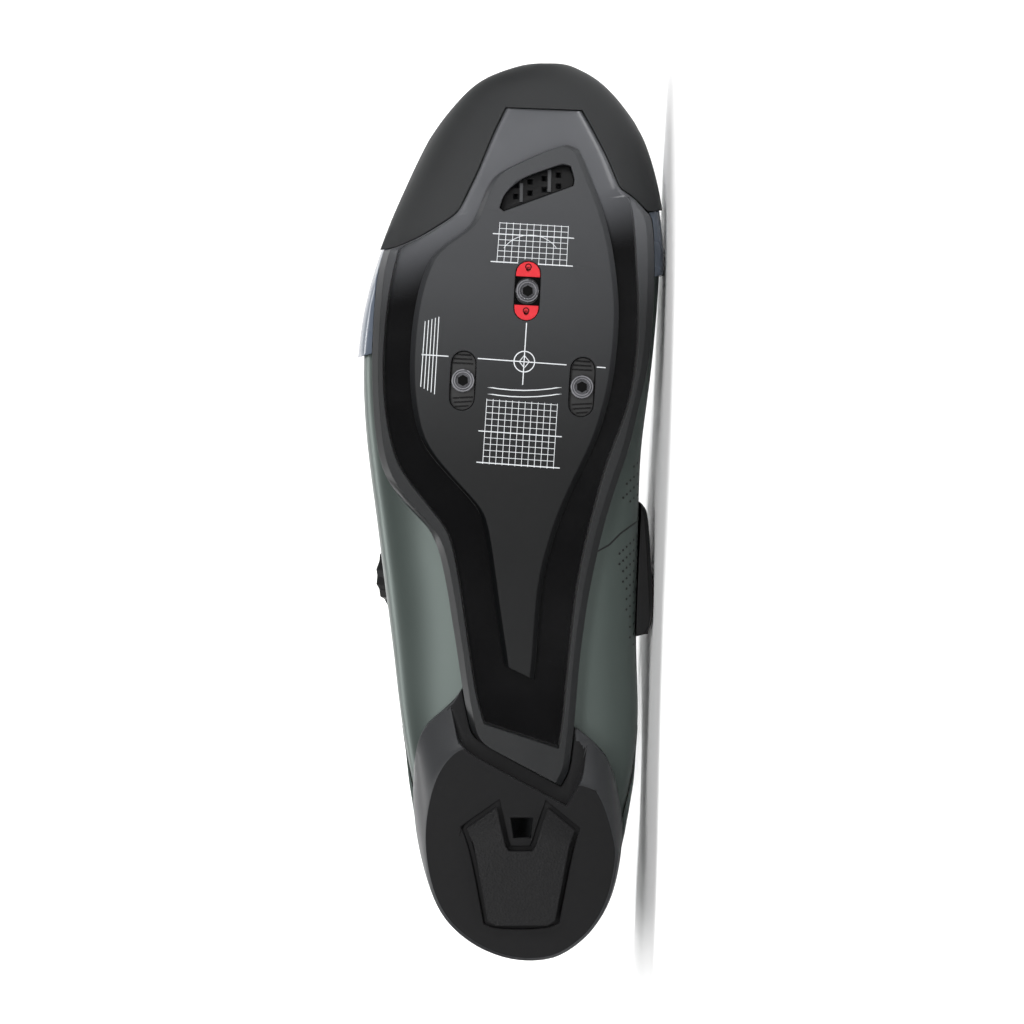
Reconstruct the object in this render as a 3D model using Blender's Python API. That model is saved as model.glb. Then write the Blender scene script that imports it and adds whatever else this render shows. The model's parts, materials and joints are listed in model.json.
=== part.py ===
# Road cycling shoe for the right foot, lying on its medial side.
# The shoe is modelled upright: +X to the lateral side, +Y to the toe, +Z up from the sole.
# An empty then carries every piece to the pose in which the shoe lies by itself.
import math

import bmesh
import bpy
import numpy as np
from mathutils import Matrix, Vector

# Driving sizes in metres
SHOE_LENGTH = 0.280
BALL_WIDTH = 0.0923
INSTEP_HEIGHT = 0.093
HEEL_LIFT = 0.018
TOE_SPRING = 0.0215
UPPER_WALL = 0.0023
UNDER_CUT = 0.027
SIDE_SHARE = 0.55
SEAM_GAP = 0.0003
INSOLE_THICKNESS = 0.0036
COLLAR_HEIGHT = 0.079
TONGUE_THICKNESS = 0.0042
TONGUE_CLEARANCE = 0.0008
TONGUE_OVERLAP = 0.009
TONGUE_AHEAD = 0.028
TONGUE_BEHIND = 0.010
TONGUE_RISE = 0.020
TONGUE_LEAN = 0.55
THROAT_WIDTH = 0.025
CHANNEL_DEPTH = 0.0042
RIM_DROP = 0.0034
RIM_CHAMFER = 0.0009
RIM_ROUND = 0.0020
PLATE_BEVEL = 0.0016
CLEAT_TURN_DEGREES = 3.1
CLEAT_ALONG = 0.641
CLEAT_OUT = -0.0076
BOLT_SPACING = 0.0366
BOLT_RISE = 0.0285
SLOT_WIDTH = 0.0080
SLOT_TRAVEL = 0.0106
SLIDE_DEPTH = 0.0022
NUT_RADIUS = 0.0036
NUT_BORE = 0.00235
NUT_SUNK = 0.0004
NUT_FLOOR = 0.0004
SLIDE_LENGTH = 0.0082
STOP_HOLE = 0.0008
VENT_HOLE = 0.0016
VENT_SKIN = 0.0012
VENT_COLUMN_PITCH = 0.0044
VENT_ROW_PITCH = 0.00352
VENT_LEAN = 0.24
BUMPER_THICKNESS = 0.0023
BUMPER_HEIGHT = 0.033
BUMPER_START = 0.8115
BUMPER_SLANT = 0.142
GUARD_THICKNESS = 0.0010
GUARD_HEIGHT = 0.037
GUARD_START = 0.7195
GUARD_SLANT = 0.27
GUARD_STEP = 0.004
TOE_END = 0.99
COUNTER_THICKNESS = 0.0015
COUNTER_HEIGHT = 0.058
COUNTER_FOOT = 0.042
TAB_START = 0.0406
CUP_HEIGHT = 0.030
CUP_SLOPE = 0.143
CUP_WAIST = 0.62
HEEL_RISE = 0.030
HEEL_WALL = 0.0050
HEEL_SKIN = 0.0045
PAD_PROUD = 0.0030
PAD_DEPTH = 0.0022
PAD_GROOVE = 0.0014
TAIL_GROOVE = 0.0046
TAIL_WALL = 0.0025
TAIL_ROWS = 7
TAB_WIDTH = 0.013
TAB_THICKNESS = 0.0020
TAB_REACH = 0.0105
TAB_RISE = 0.003
STRAP_WIDTH = 0.042
STRAP_THICKNESS = 0.0016
STRAP_FLOOR = 0.0503
GUIDE_FLOOR = 0.030
DIAL_RADIUS = 0.0125
DIAL_HEIGHT = 0.0062
DIAL_BASE_HEIGHT = 0.0040
DIAL_SEAT_HEIGHT = 0.0668
DIAL_TEETH = 16
DIAL_BACK = 0.0019
DIAL_FLANGE = 0.0016
DIAL_CROWN = 0.86
TOOTH_DEPTH = 0.0008
CABLE_RADIUS = 0.0007
CABLE_LIFT = 0.0021
GUIDE_THICKNESS = 0.0034
GUIDE_SIZE = 0.0056
CORNER_SHARE = 0.35

# Sections of the last, heel to toe. The first column is a share of the shoe's length,
# lateral, medial and ridge are shares of the ball width, low is a share of the heel
# lift, and wide and high are shares of the instep height.
LAST_COLUMNS = ("along", "lateral", "medial", "ridge", "low", "wide", "high",
                "top_power", "low_power")
LAST_ROWS = (
    (0.015, 0.022, -0.108, -0.043, 1.44, 0.387, 0.56, 2.0, 2.0),
    (0.023, 0.100, -0.184, -0.043, 1.14, 0.376, 0.73, 2.1, 2.2),
    (0.041, 0.200, -0.228, -0.043, 1.03, 0.366, 0.85, 2.1, 2.6),
    (0.075, 0.283, -0.293, -0.038, 1.00, 0.330, 0.92, 2.1, 3.0),
    (0.129, 0.324, -0.325, -0.030, 1.00, 0.310, 0.945, 2.1, 3.1),
    (0.196, 0.368, -0.374, -0.018, 1.00, 0.305, 0.965, 2.05, 2.9),
    (0.268, 0.408, -0.404, -0.010, 0.95, 0.305, 0.990, 2.0, 2.7),
    (0.343, 0.434, -0.397, -0.008, 0.87, 0.305, 1.000, 2.0, 2.6),
    (0.421, 0.464, -0.400, -0.010, 0.74, 0.295, 0.915, 2.0, 2.7),
    (0.500, 0.493, -0.404, -0.020, 0.60, 0.262, 0.790, 2.05, 2.9),
    (0.571, 0.520, -0.411, -0.035, 0.48, 0.230, 0.690, 2.1, 3.3),
    (0.643, 0.533, -0.440, -0.050, 0.40, 0.200, 0.620, 2.15, 3.6),
    (0.714, 0.520, -0.462, -0.065, 0.40, 0.188, 0.570, 2.2, 3.6),
    (0.786, 0.462, -0.474, -0.078, 0.44, 0.200, 0.532, 2.25, 3.4),
    (0.850, 0.373, -0.450, -0.088, 0.55, 0.232, 0.500, 2.3, 3.0),
    (0.907, 0.287, -0.399, -0.094, 0.79, 0.272, 0.468, 2.3, 2.7),
    (0.950, 0.195, -0.322, -0.096, 1.04, 0.300, 0.430, 2.2, 2.4),
    (0.977, 0.103, -0.240, -0.094, 1.22, 0.317, 0.403, 2.1, 2.2),
    (0.991, -0.032, -0.150, -0.092, 1.44, 0.323, 0.366, 2.0, 2.0),
)

# Side line of the sole's underside: share of the length, share of the toe spring.
SOLE_LINE = (
    (0.00, 0.13), (0.15, 0.19), (0.20, 0.24), (0.25, 0.29), (0.30, 0.31), (0.36, 0.29),
    (0.41, 0.235), (0.46, 0.16), (0.52, 0.075), (0.565, 0.016), (0.590, 0.0), (0.760, 0.0),
    (0.785, 0.03), (0.830, 0.15), (0.857, 0.25), (0.900, 0.43), (0.936, 0.61), (0.971, 0.81),
    (1.00, 1.00),
)

# Depth of the channel round the plate: share of the length, share of the full depth.
CHANNEL_ROWS = ((0.765, 1.0), (0.840, 0.60))

# Sole stations, tail to toe. Each is a line across the sole with its own lateral and
# medial end; along is a share of the length, out and rim are shares of the ball width,
# edge is the share of the rim's drop that is left, and lip is the share of that drop by
# which the channel's floor comes up.
SOLE_COLUMNS = ("lateral_along", "lateral_out", "medial_along", "medial_out",
                "lateral_rim", "medial_rim", "edge", "lip")
SOLE_ROWS = (
    (0.2464, 0.134, 0.1995, -0.134, 0.065, 0.054, 1.0, 1.0),
    (0.2564, 0.164, 0.2144, -0.161, 0.065, 0.054, 1.0, 1.0),
    (0.2729, 0.174, 0.2354, -0.169, 0.056, 0.041, 1.0, 1.0),
    (0.2757, 0.176, 0.2381, -0.170, 0.054, 0.041, 1.0, 0.0),
    (0.3006, 0.191, 0.2685, -0.181, 0.042, 0.037, 1.0, 0.0),
    (0.3403, 0.208, 0.3238, -0.193, 0.040, 0.035, 1.0, 0.0),
    (0.3757, 0.225, 0.3646, -0.208, 0.041, 0.036, 1.0, 0.0),
    (0.4111, 0.241, 0.4111, -0.228, 0.042, 0.042, 1.0, 0.0),
    (0.4586, 0.268, 0.4564, -0.258, 0.045, 0.045, 1.0, 0.0),
    (0.4818, 0.302, 0.4774, -0.273, 0.058, 0.045, 1.0, 0.0),
    (0.5017, 0.362, 0.4957, -0.288, 0.070, 0.047, 1.0, 0.0),
    (0.5205, 0.412, 0.5172, -0.308, 0.074, 0.049, 1.0, 0.0),
    (0.5437, 0.456, 0.5415, -0.332, 0.061, 0.054, 1.0, 0.0),
    (0.5713, 0.477, 0.5713, -0.365, 0.047, 0.056, 1.0, 0.0),
    (0.6133, 0.489, 0.6133, -0.392, 0.037, 0.030, 1.0, 0.0),
    (0.6564, 0.494, 0.6564, -0.426, 0.035, 0.039, 1.0, 0.0),
    (0.6984, 0.489, 0.6984, -0.440, 0.037, 0.043, 1.0, 0.0),
    (0.7404, 0.481, 0.7404, -0.446, 0.043, 0.050, 1.0, 0.0),
    (0.7702, 0.469, 0.7735, -0.447, 0.050, 0.058, 0.9, 0.0),
    (0.7879, 0.452, 0.8011, -0.446, 0.048, 0.060, 0.7, 0.0),
    (0.7920, 0.405, 0.8230, -0.440, 0.014, 0.060, 0.4, 0.0),
    (0.8022, 0.335, 0.8300, -0.428, 0.012, 0.050, 0.2, 0.0),
    (0.8138, 0.278, 0.8465, -0.380, 0.012, 0.014, 0.1, 0.0),
    (0.8247, 0.225, 0.8558, -0.335, 0.012, 0.012, 0.06, 0.0),
    (0.8331, 0.199, 0.8641, -0.322, 0.012, 0.012, 0.05, 0.0),
    (0.8552, 0.168, 0.8818, -0.302, 0.012, 0.012, 0.05, 0.0),
    (0.8751, 0.139, 0.8983, -0.280, 0.012, 0.012, 0.05, 0.0),
    (0.9182, 0.087, 0.9237, -0.241, 0.012, 0.012, 0.05, 0.0),
    (0.9470, 0.045, 0.9436, -0.208, 0.012, 0.012, 0.05, 0.0),
)

# Cleat plate stations, tail to toe: each end's share of the length and ball width.
PLATE_COLUMNS = ("lateral_along", "lateral_out", "medial_along", "medial_out")
PLATE_ROWS = (
    (0.3320, 0.054, 0.3160, -0.045),
    (0.3481, 0.062, 0.3403, -0.055),
    (0.3967, 0.084, 0.3823, -0.062),
    (0.4530, 0.104, 0.4254, -0.074),
    (0.4873, 0.122, 0.4586, -0.101),
    (0.5039, 0.139, 0.4829, -0.124),
    (0.5227, 0.191, 0.5017, -0.144),
    (0.5525, 0.275, 0.5326, -0.186),
    (0.5713, 0.318, 0.5602, -0.228),
    (0.5912, 0.345, 0.5856, -0.263),
    (0.6221, 0.362, 0.6133, -0.288),
    (0.6530, 0.369, 0.6420, -0.310),
    (0.6984, 0.362, 0.6840, -0.325),
    (0.7348, 0.345, 0.7260, -0.332),
    (0.7658, 0.318, 0.7680, -0.318),
    (0.7857, 0.285, 0.7900, -0.308),
    (0.7995, 0.225, 0.8099, -0.295),
    (0.8133, 0.164, 0.8254, -0.282),
    (0.8304, 0.139, 0.8409, -0.268),
    (0.8586, 0.109, 0.8751, -0.228),
    (0.8729, 0.080, 0.8895, -0.211),
    (0.8840, 0.010, 0.9006, -0.194),
    (0.8983, -0.084, 0.9050, -0.161),
)

# Heel block outline, front left round the back to front right: share of the length
# and of the ball width, first on the flat underside and then on the cup's edge.
HEEL_COLUMNS = ("base_along", "base_out", "cup_along", "cup_out")
HEEL_ROWS = (
    (0.2443, 0.181, 0.3050, 0.198),
    (0.2421, 0.208, 0.2928, 0.221),
    (0.2311, 0.251, 0.2675, 0.312),
    (0.2079, 0.295, 0.2504, 0.345),
    (0.1746, 0.319, 0.2132, 0.362),
    (0.1457, 0.328, 0.1679, 0.362),
    (0.1139, 0.322, 0.1239, 0.342),
    (0.0775, 0.295, 0.0780, 0.303),
    (0.0518, 0.251, 0.0511, 0.261),
    (0.0343, 0.194, 0.0318, 0.206),
    (0.0200, 0.128, 0.0161, 0.137),
    (0.0100, 0.050, 0.0068, 0.052),
    (0.0068, -0.040, 0.0043, -0.040),
    (0.0111, -0.120, 0.0075, -0.123),
    (0.0221, -0.174, 0.0180, -0.178),
    (0.0364, -0.228, 0.0332, -0.232),
    (0.0586, -0.275, 0.0554, -0.281),
    (0.0829, -0.306, 0.0807, -0.315),
    (0.1139, -0.322, 0.1171, -0.338),
    (0.1293, -0.327, 0.1500, -0.345),
    (0.1546, -0.310, 0.1800, -0.334),
    (0.1789, -0.288, 0.2111, -0.315),
    (0.1968, -0.258, 0.2332, -0.284),
    (0.2032, -0.211, 0.2504, -0.234),
    (0.2036, -0.180, 0.2618, -0.190),
)

# Heel pad, going round: share of the length and of the ball width, and how far the
# point is lifted off the floor as a share of the pad's own stand.
PAD_ROWS = (
    (0.1768, 0.080, 0.75), (0.1536, 0.181, 0.75), (0.1361, 0.156, 0.0),
    (0.0520, 0.110, 0.0), (0.0475, 0.084, 0.0), (0.0475, -0.087, 0.0),
    (0.0530, -0.114, 0.0), (0.1346, -0.161, 0.0), (0.1514, -0.181, 0.75),
    (0.1757, -0.091, 0.75), (0.1568, -0.070, 0.0), (0.1350, -0.050, 0.0),
    (0.1290, -0.038, 0.0), (0.1290, 0.040, 0.0), (0.1350, 0.052, 0.0),
    (0.1568, 0.067, 0.0),
)
PAD_WINGS = ((0, 1, 2, 15), (7, 8, 9, 10))
DRAIN_HOLE = ((0.1650, 0.034), (0.1650, -0.042), (0.1429, -0.033), (0.1425, 0.024))

# Upper edge of the heel counter, heel to front: share of the length, share of its height.
COUNTER_ROWS = ((-0.100, 1.00), (0.030, 1.00), (0.100, 0.965), (0.160, 0.87), (0.205, 0.74),
                (0.240, 0.62), (0.262, 0.56))

# Opening under the last, heel to toe: share of the length, lateral and medial shares
# of the ball width.
UNDER_ROWS = (
    (0.045, 0.060, -0.140), (0.075, 0.180, -0.230), (0.125, 0.220, -0.250),
    (0.180, 0.215, -0.235), (0.235, 0.150, -0.150), (0.300, 0.140, -0.135),
    (0.360, 0.165, -0.160), (0.455, 0.215, -0.210), (0.500, 0.300, -0.245),
    (0.540, 0.395, -0.285), (0.575, 0.420, -0.315), (0.660, 0.440, -0.375),
    (0.740, 0.425, -0.392), (0.785, 0.330, -0.385), (0.830, 0.180, -0.340),
    (0.875, 0.100, -0.255), (0.920, 0.045, -0.200),
)

# Collar line seen from the side: share of the length, share of the collar height.
COLLAR_ROWS = (
    (-0.060, 1.01), (0.015, 1.00), (0.045, 0.975), (0.105, 0.865), (0.165, 0.790),
    (0.215, 0.775), (0.265, 0.830), (0.310, 0.960), (0.338, 1.10), (0.350, 1.40),
)

# Throat: share of the length, share of the throat width on each side of its middle.
THROAT_ROWS = ((0.300, 0.56), (0.36, 0.50), (0.43, 0.43), (0.50, 0.36), (0.555, 0.29),
               (0.582, 0.20), (0.592, 0.09))

# Vent opening in the plate, going round: share of the length and of the ball width.
VENT_OUTLINE = ((0.8840, -0.144), (0.8812, -0.170), (0.8652, -0.184), (0.8586, -0.178),
                (0.8304, 0.054), (0.8342, 0.068), (0.8497, 0.054), (0.8641, 0.010),
                (0.8713, -0.032))

# Strap outline from above, medial side to the lateral tip: share of the ball width,
# then both edges' shares of the strap width from its middle.
STRAP_ROWS = ((-0.70, -0.50, 0.50), (-0.35, -0.50, 0.50), (-0.12, -0.43, 0.45),
              (0.02, -0.33, 0.33), (0.07, -0.28, 0.27), (0.10, -0.18, 0.18))
STRAP_ALONG = 0.4375

# Strap anchor's plan, rear end round its outside to the front: share of the length and
# of the ball width. Then its section: height, and how far its outside is drawn in.
ANCHOR_ROWS = ((0.3625, -0.404), (0.3650, -0.430), (0.3740, -0.4485), (0.4060, -0.4485),
               (0.4530, -0.440), (0.4980, -0.432), (0.5080, -0.420), (0.5120, -0.404))
ANCHOR_SECTION = ((0.0245, 0.0012), (0.0260, 0.0), (0.0420, 0.0008), (0.0500, 0.0042))

# Cable route from above, from the dial's front port to its rear port: shares of the
# ball width and of the length, and the height over the last as a share of the lift.
CABLE_ROWS = (
    (0.276, 0.462, 1.0), (0.250, 0.482, 1.0), (0.222, 0.510, 1.0), (0.196, 0.538, 1.0),
    (0.168, 0.562, 1.0), (0.138, 0.578, 1.0), (0.100, 0.583, 1.0), (0.040, 0.578, 1.0),
    (-0.030, 0.571, 1.0), (-0.090, 0.565, 1.0), (-0.132, 0.558, 1.0),
    (-0.156, 0.547, 1.0), (-0.146, 0.536, 1.0), (-0.112, 0.530, 1.0),
    (-0.050, 0.528, 1.0), (0.010, 0.527, 1.0), (0.060, 0.525, 1.0), (0.098, 0.520, 1.0),
    (0.124, 0.511, 1.0), (0.132, 0.500, 1.0), (0.122, 0.488, 1.1), (0.096, 0.479, 1.4),
    (0.070, 0.470, 1.8), (0.054, 0.458, 1.8), (0.046, 0.439, 1.8), (0.054, 0.420, 1.8),
    (0.074, 0.408, 1.75), (0.104, 0.402, 1.4), (0.150, 0.399, 1.1), (0.196, 0.398, 1.0),
    (0.252, 0.402, 1.0),
)

# Lace guides on the upper, from above: middle as shares of the ball width and length,
# half width and half length as shares of the guide size.
GUIDES = (
    ("guide_lateral_front", 0.128, 0.5765, 1.00, 0.64),
    ("guide_medial", -0.140, 0.5475, 0.75, 1.10),
    ("guide_lateral_rear", 0.136, 0.5025, 0.72, 0.90),
)
STRAP_GUIDE = (0.060, 0.439, 0.66, 1.72)

AROUND = 20
FAR = 0.10
SECTION_STEPS = 2

MATERIALS = {
    "upper": ((0.105, 0.130, 0.122), 0.45, 0.0),
    "lining": ((0.035, 0.036, 0.038), 0.85, 0.0),
    "sole": ((0.070, 0.073, 0.078), 0.42, 0.0),
    "plate": ((0.085, 0.085, 0.088), 0.50, 0.0),
    "rubber": ((0.055, 0.056, 0.058), 0.70, 0.0),
    "heel": ((0.040, 0.040, 0.041), 0.60, 0.0),
    "panel": ((0.170, 0.195, 0.230), 0.35, 0.0),
    "black": ((0.012, 0.012, 0.013), 0.40, 0.0),
    "red": ((0.640, 0.025, 0.030), 0.40, 0.0),
    "steel": ((0.060, 0.060, 0.062), 0.30, 1.0),
}
# Weight for its size, kg per cubic metre, used to find how the shoe lies.
DENSITIES = {
    "upper": 1100.0, "lining": 300.0, "sole": 1100.0, "plate": 1100.0, "rubber": 1200.0,
    "heel": 1100.0, "panel": 1100.0, "black": 1100.0, "red": 1100.0, "steel": 7850.0,
}


def clear_scene():
    for old in list(bpy.data.objects):
        bpy.data.objects.remove(old, do_unlink=True)


def material(name):
    colour, roughness, metallic = MATERIALS[name]
    made = bpy.data.materials.new(name)
    made.use_nodes = True
    shader = made.node_tree.nodes["Principled BSDF"]
    shader.inputs["Base Color"].default_value = (*colour, 1.0)
    shader.inputs["Roughness"].default_value = roughness
    shader.inputs["Metallic"].default_value = metallic
    return made


def add_object(name, verts, faces, finish=None):
    """Make one object; without a finish it is a cutter, which the model leaves out."""
    mesh = bpy.data.meshes.new(name)
    mesh.from_pydata([tuple(v) for v in verts], [], faces)
    mesh.validate()
    shape = bmesh.new()
    shape.from_mesh(mesh)
    bmesh.ops.recalc_face_normals(shape, faces=shape.faces)
    shape.to_mesh(mesh)
    shape.free()
    made = bpy.data.objects.new(name, mesh)
    bpy.context.scene.collection.objects.link(made)
    if finish is None:
        made.hide_render = True
        made.display_type = "WIRE"
    else:
        mesh.materials.append(material(finish))
        made["finish"] = finish
    return made


def boolean(piece, cutter, operation="DIFFERENCE"):
    step = piece.modifiers.new(cutter.name, "BOOLEAN")
    step.operation = operation
    step.solver = "EXACT"
    step.object = cutter


def smooth_rows(rows, steps, keep_within=False):
    """Pass a smooth curve through the rows, optionally without any overshoot."""
    rows = np.array(rows, dtype=float)
    last = len(rows) - 1
    made = []
    for index in range(last):
        before = rows[max(index - 1, 0)]
        start = rows[index]
        end = rows[index + 1]
        after = rows[min(index + 2, last)]
        for step in range(steps):
            t = step / steps
            row = 0.5 * (2 * start + (end - before) * t
                         + (2 * before - 5 * start + 4 * end - after) * t ** 2
                         + (3 * start - before - 3 * end + after) * t ** 3)
            if keep_within:
                row = np.clip(row, np.minimum(start, end), np.maximum(start, end))
            made.append(row)
    made.append(rows[last])
    return np.array(made)


LAST_SIZES = (SHOE_LENGTH, BALL_WIDTH, BALL_WIDTH, BALL_WIDTH, HEEL_LIFT,
              INSTEP_HEIGHT, INSTEP_HEIGHT, 1.0, 1.0)
LAST_STATIONS = smooth_rows(LAST_ROWS, SECTION_STEPS) * np.array(LAST_SIZES)
LAST_DENSE = smooth_rows(LAST_ROWS, 12) * np.array(LAST_SIZES)
SOLE_CURVE = smooth_rows(SOLE_LINE, 4, True) * np.array((SHOE_LENGTH, TOE_SPRING))


def last_at(along):
    """Named sizes of the last's section at a distance from the heel."""
    values = [np.interp(along, LAST_DENSE[:, 0], LAST_DENSE[:, column])
              for column in range(len(LAST_COLUMNS))]
    return dict(zip(LAST_COLUMNS, values))


def sole_height(along):
    """Height of the cleat plate's underside at a distance from the heel."""
    return float(np.interp(along, SOLE_CURVE[:, 0], SOLE_CURVE[:, 1]))


def top_of_last(out, along):
    """Height of the last's upper surface over a point of its plan."""
    row = last_at(along)
    reach = row["lateral"] - row["ridge"] if out > row["ridge"] else row["ridge"] - row["medial"]
    share = min(abs(out - row["ridge"]) / reach, 0.999)
    rise = (1 - share ** row["top_power"]) ** (1 / row["top_power"])
    return row["wide"] + (row["high"] - row["wide"]) * rise


def on_last(out, along, lift):
    """A point over the last's upper surface, lifted square to it, and the direction."""
    step = 0.0005
    slope_x = (top_of_last(out + step, along) - top_of_last(out - step, along)) / (2 * step)
    slope_y = (top_of_last(out, along + step) - top_of_last(out, along - step)) / (2 * step)
    up = Vector((-slope_x, -slope_y, 1.0)).normalized()
    return Vector((out, along, top_of_last(out, along))) + up * lift, up


def last_ring(row):
    ring = []
    for index in range(AROUND):
        angle = 2 * math.pi * index / AROUND
        across = math.cos(angle)
        rise = math.sin(angle)
        power = row["top_power"] if rise >= 0 else row["low_power"]
        middle = row["ridge"]
        reach = row["lateral"] - middle if across >= 0 else middle - row["medial"]
        height = row["high"] - row["wide"] if rise >= 0 else row["wide"] - row["low"]
        ring.append((middle + math.copysign(abs(across) ** (2 / power), across) * reach,
                     row["along"],
                     row["wide"] + math.copysign(abs(rise) ** (2 / power), rise) * height))
    return ring


def last_shape():
    """Points, outward directions and faces of the closed last."""
    verts = []
    for values in LAST_STATIONS:
        verts.extend(last_ring(dict(zip(LAST_COLUMNS, values))))
    rings = len(LAST_STATIONS)
    faces = []
    for ring in range(rings - 1):
        for index in range(AROUND):
            following = (index + 1) % AROUND
            faces.append((ring * AROUND + index, ring * AROUND + following,
                          (ring + 1) * AROUND + following, (ring + 1) * AROUND + index))
    for ring, turn in ((0, 1), (rings - 1, -1)):
        middle = len(verts)
        verts.append(tuple(np.mean(verts[ring * AROUND:(ring + 1) * AROUND], axis=0)))
        for index in range(AROUND):
            pair = (ring * AROUND + index, ring * AROUND + (index + 1) % AROUND)
            faces.append((middle, *pair[::turn]))
    shape = bmesh.new()
    points = [shape.verts.new(v) for v in verts]
    for face in faces:
        shape.faces.new([points[i] for i in face])
    bmesh.ops.recalc_face_normals(shape, faces=shape.faces)
    shape.normal_update()
    outward = np.array([tuple(v.normal) for v in points])
    shape.free()
    return np.array(verts), outward, faces


LAST_POINTS, LAST_OUTWARD, LAST_FACES = last_shape()


def last_form(name, offset, finish=None):
    """The closed last, grown by an offset."""
    return add_object(name, LAST_POINTS + LAST_OUTWARD * offset, LAST_FACES, finish)


def prism(name, plan, low, high, finish=None):
    """An upright block over a plan outline; low and high are heights or functions."""
    def level(value, point):
        return value(point[1]) if callable(value) else value
    count = len(plan)
    verts = [(x, y, level(low, (x, y))) for x, y in plan]
    verts += [(x, y, level(high, (x, y))) for x, y in plan]
    faces = [tuple(range(count))[::-1], tuple(range(count, 2 * count))]
    for index in range(count):
        following = (index + 1) % count
        faces.append((index, following, count + following, count + index))
    return add_object(name, verts, faces, finish)


def side_block(name, profile, left, right, finish=None):
    """A block whose outline is drawn from the side and pushed across the shoe."""
    count = len(profile)
    verts = [(left, y, z) for y, z in profile] + [(right, y, z) for y, z in profile]
    faces = [tuple(range(count)), tuple(range(count, 2 * count))[::-1]]
    for index in range(count):
        following = (index + 1) % count
        faces.append((index, following, count + following, count + index))
    return add_object(name, verts, faces, finish)


def loft(name, rings, finish=None):
    """Join rings of equal length and close both ends."""
    size = len(rings[0])
    verts = [point for ring in rings for point in ring]
    faces = []
    for ring in range(len(rings) - 1):
        for index in range(size):
            following = (index + 1) % size
            faces.append((ring * size + index, ring * size + following,
                          (ring + 1) * size + following, (ring + 1) * size + index))
    faces.append(tuple(range(size))[::-1])
    start = (len(rings) - 1) * size
    faces.append(tuple(range(start, start + size)))
    return add_object(name, verts, faces, finish)


def grow(plan, distance):
    """Move a closed plan outline outwards by a distance."""
    points = [Vector(p) for p in plan]
    area = sum(a.x * b.y - b.x * a.y for a, b in zip(points, points[1:] + points[:1]))
    turn = 1.0 if area > 0 else -1.0
    made = []
    for index, point in enumerate(points):
        arrive = (point - points[index - 1]).normalized()
        leave = (points[(index + 1) % len(points)] - point).normalized()
        first = Vector((arrive.y, -arrive.x)) * turn
        second = Vector((leave.y, -leave.x)) * turn
        both = (first + second).normalized()
        reach = distance / max(both.dot(first), 0.5)
        made.append(tuple(point + both * reach))
    return made


def capsule(middle, width, length, turn=0.0, sides=8):
    """Plan outline of a slot with round ends, long along the shoe."""
    straight = max(length - width, 0.0) / 2
    points = []
    for end, start in ((1, 0.0), (-1, math.pi)):
        for index in range(sides + 1):
            angle = start + math.pi * index / sides
            points.append((width / 2 * math.cos(angle),
                           end * straight + width / 2 * math.sin(angle)))
    return [(middle[0] + x * math.cos(turn) - y * math.sin(turn),
             middle[1] + x * math.sin(turn) + y * math.cos(turn)) for x, y in points]


def plan_point(along, out):
    return out * BALL_WIDTH, along * SHOE_LENGTH


def edges_plan(rows, columns):
    """Closed plan outline from a table with a lateral and a medial end on each row."""
    lateral = [plan_point(row[columns.index("lateral_along")],
                          row[columns.index("lateral_out")]) for row in rows]
    medial = [plan_point(row[columns.index("medial_along")],
                         row[columns.index("medial_out")]) for row in rows]
    return lateral + medial[::-1]


SOLE_PLAN = edges_plan(SOLE_ROWS, SOLE_COLUMNS)
CLEAT_TURN = math.radians(CLEAT_TURN_DEGREES)
CLEAT_MIDDLE = plan_point(CLEAT_ALONG, CLEAT_OUT)


def cleat_point(out, along):
    """A plan point measured from the middle of the two rear bolts."""
    return (CLEAT_MIDDLE[0] + out * math.cos(CLEAT_TURN) - along * math.sin(CLEAT_TURN),
            CLEAT_MIDDLE[1] + out * math.sin(CLEAT_TURN) + along * math.cos(CLEAT_TURN))


BOLTS = {
    "front": cleat_point(0.0, BOLT_RISE),
    "lateral": cleat_point(BOLT_SPACING / 2, 0.0),
    "medial": cleat_point(-BOLT_SPACING / 2, 0.0),
}


def turned(name, profile, frame, sides, finish=None, teeth=0.0):
    """Turn a profile of (radius, height) pairs, from axis to axis, about the frame's Z."""
    verts = [(0.0, 0.0, profile[0][1])]
    for radius, height in profile[1:-1]:
        for index in range(sides):
            angle = 2 * math.pi * index / sides
            reach = radius - (teeth if index % 2 and radius == max(p[0] for p in profile) else 0)
            verts.append((reach * math.cos(angle), reach * math.sin(angle), height))
    verts.append((0.0, 0.0, profile[-1][1]))
    rings = len(profile) - 2
    faces = []
    for index in range(sides):
        following = (index + 1) % sides
        faces.append((0, 1 + following, 1 + index))
        end = 1 + (rings - 1) * sides
        faces.append((len(verts) - 1, end + index, end + following))
        for ring in range(rings - 1):
            start = 1 + ring * sides
            faces.append((start + index, start + following,
                          start + sides + following, start + sides + index))
    verts = [tuple(frame @ Vector(v)) for v in verts]
    return add_object(name, verts, faces, finish)


def upright(point, height=0.0):
    return Matrix.Translation((point[0], point[1], height))


def seat_frame(out, along):
    """Frame standing square on the last, its Y toward the toe."""
    middle, up = on_last(out, along, 0.0)
    ahead = (Vector((0, 1, 0)) - up * up.y).normalized()
    across = ahead.cross(up)
    turn = Matrix((across, ahead, up)).transposed().to_4x4()
    return Matrix.Translation(middle) @ turn


def inside_height(along):
    """A height inside the last, used as the top of blanks that the last then cuts."""
    row = last_at(along)
    return row["low"] + SIDE_SHARE * (row["wide"] - row["low"])


def channel_depth(along):
    """Depth of the channel's floor over the plate's underside."""
    shares = np.array(CHANNEL_ROWS)
    return CHANNEL_DEPTH * float(np.interp(along / SHOE_LENGTH, shares[:, 0], shares[:, 1]))


def under_last(along):
    """Underside of the last with the seam gap, where the sole stops."""
    return last_at(along)["low"] - SEAM_GAP


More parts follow.
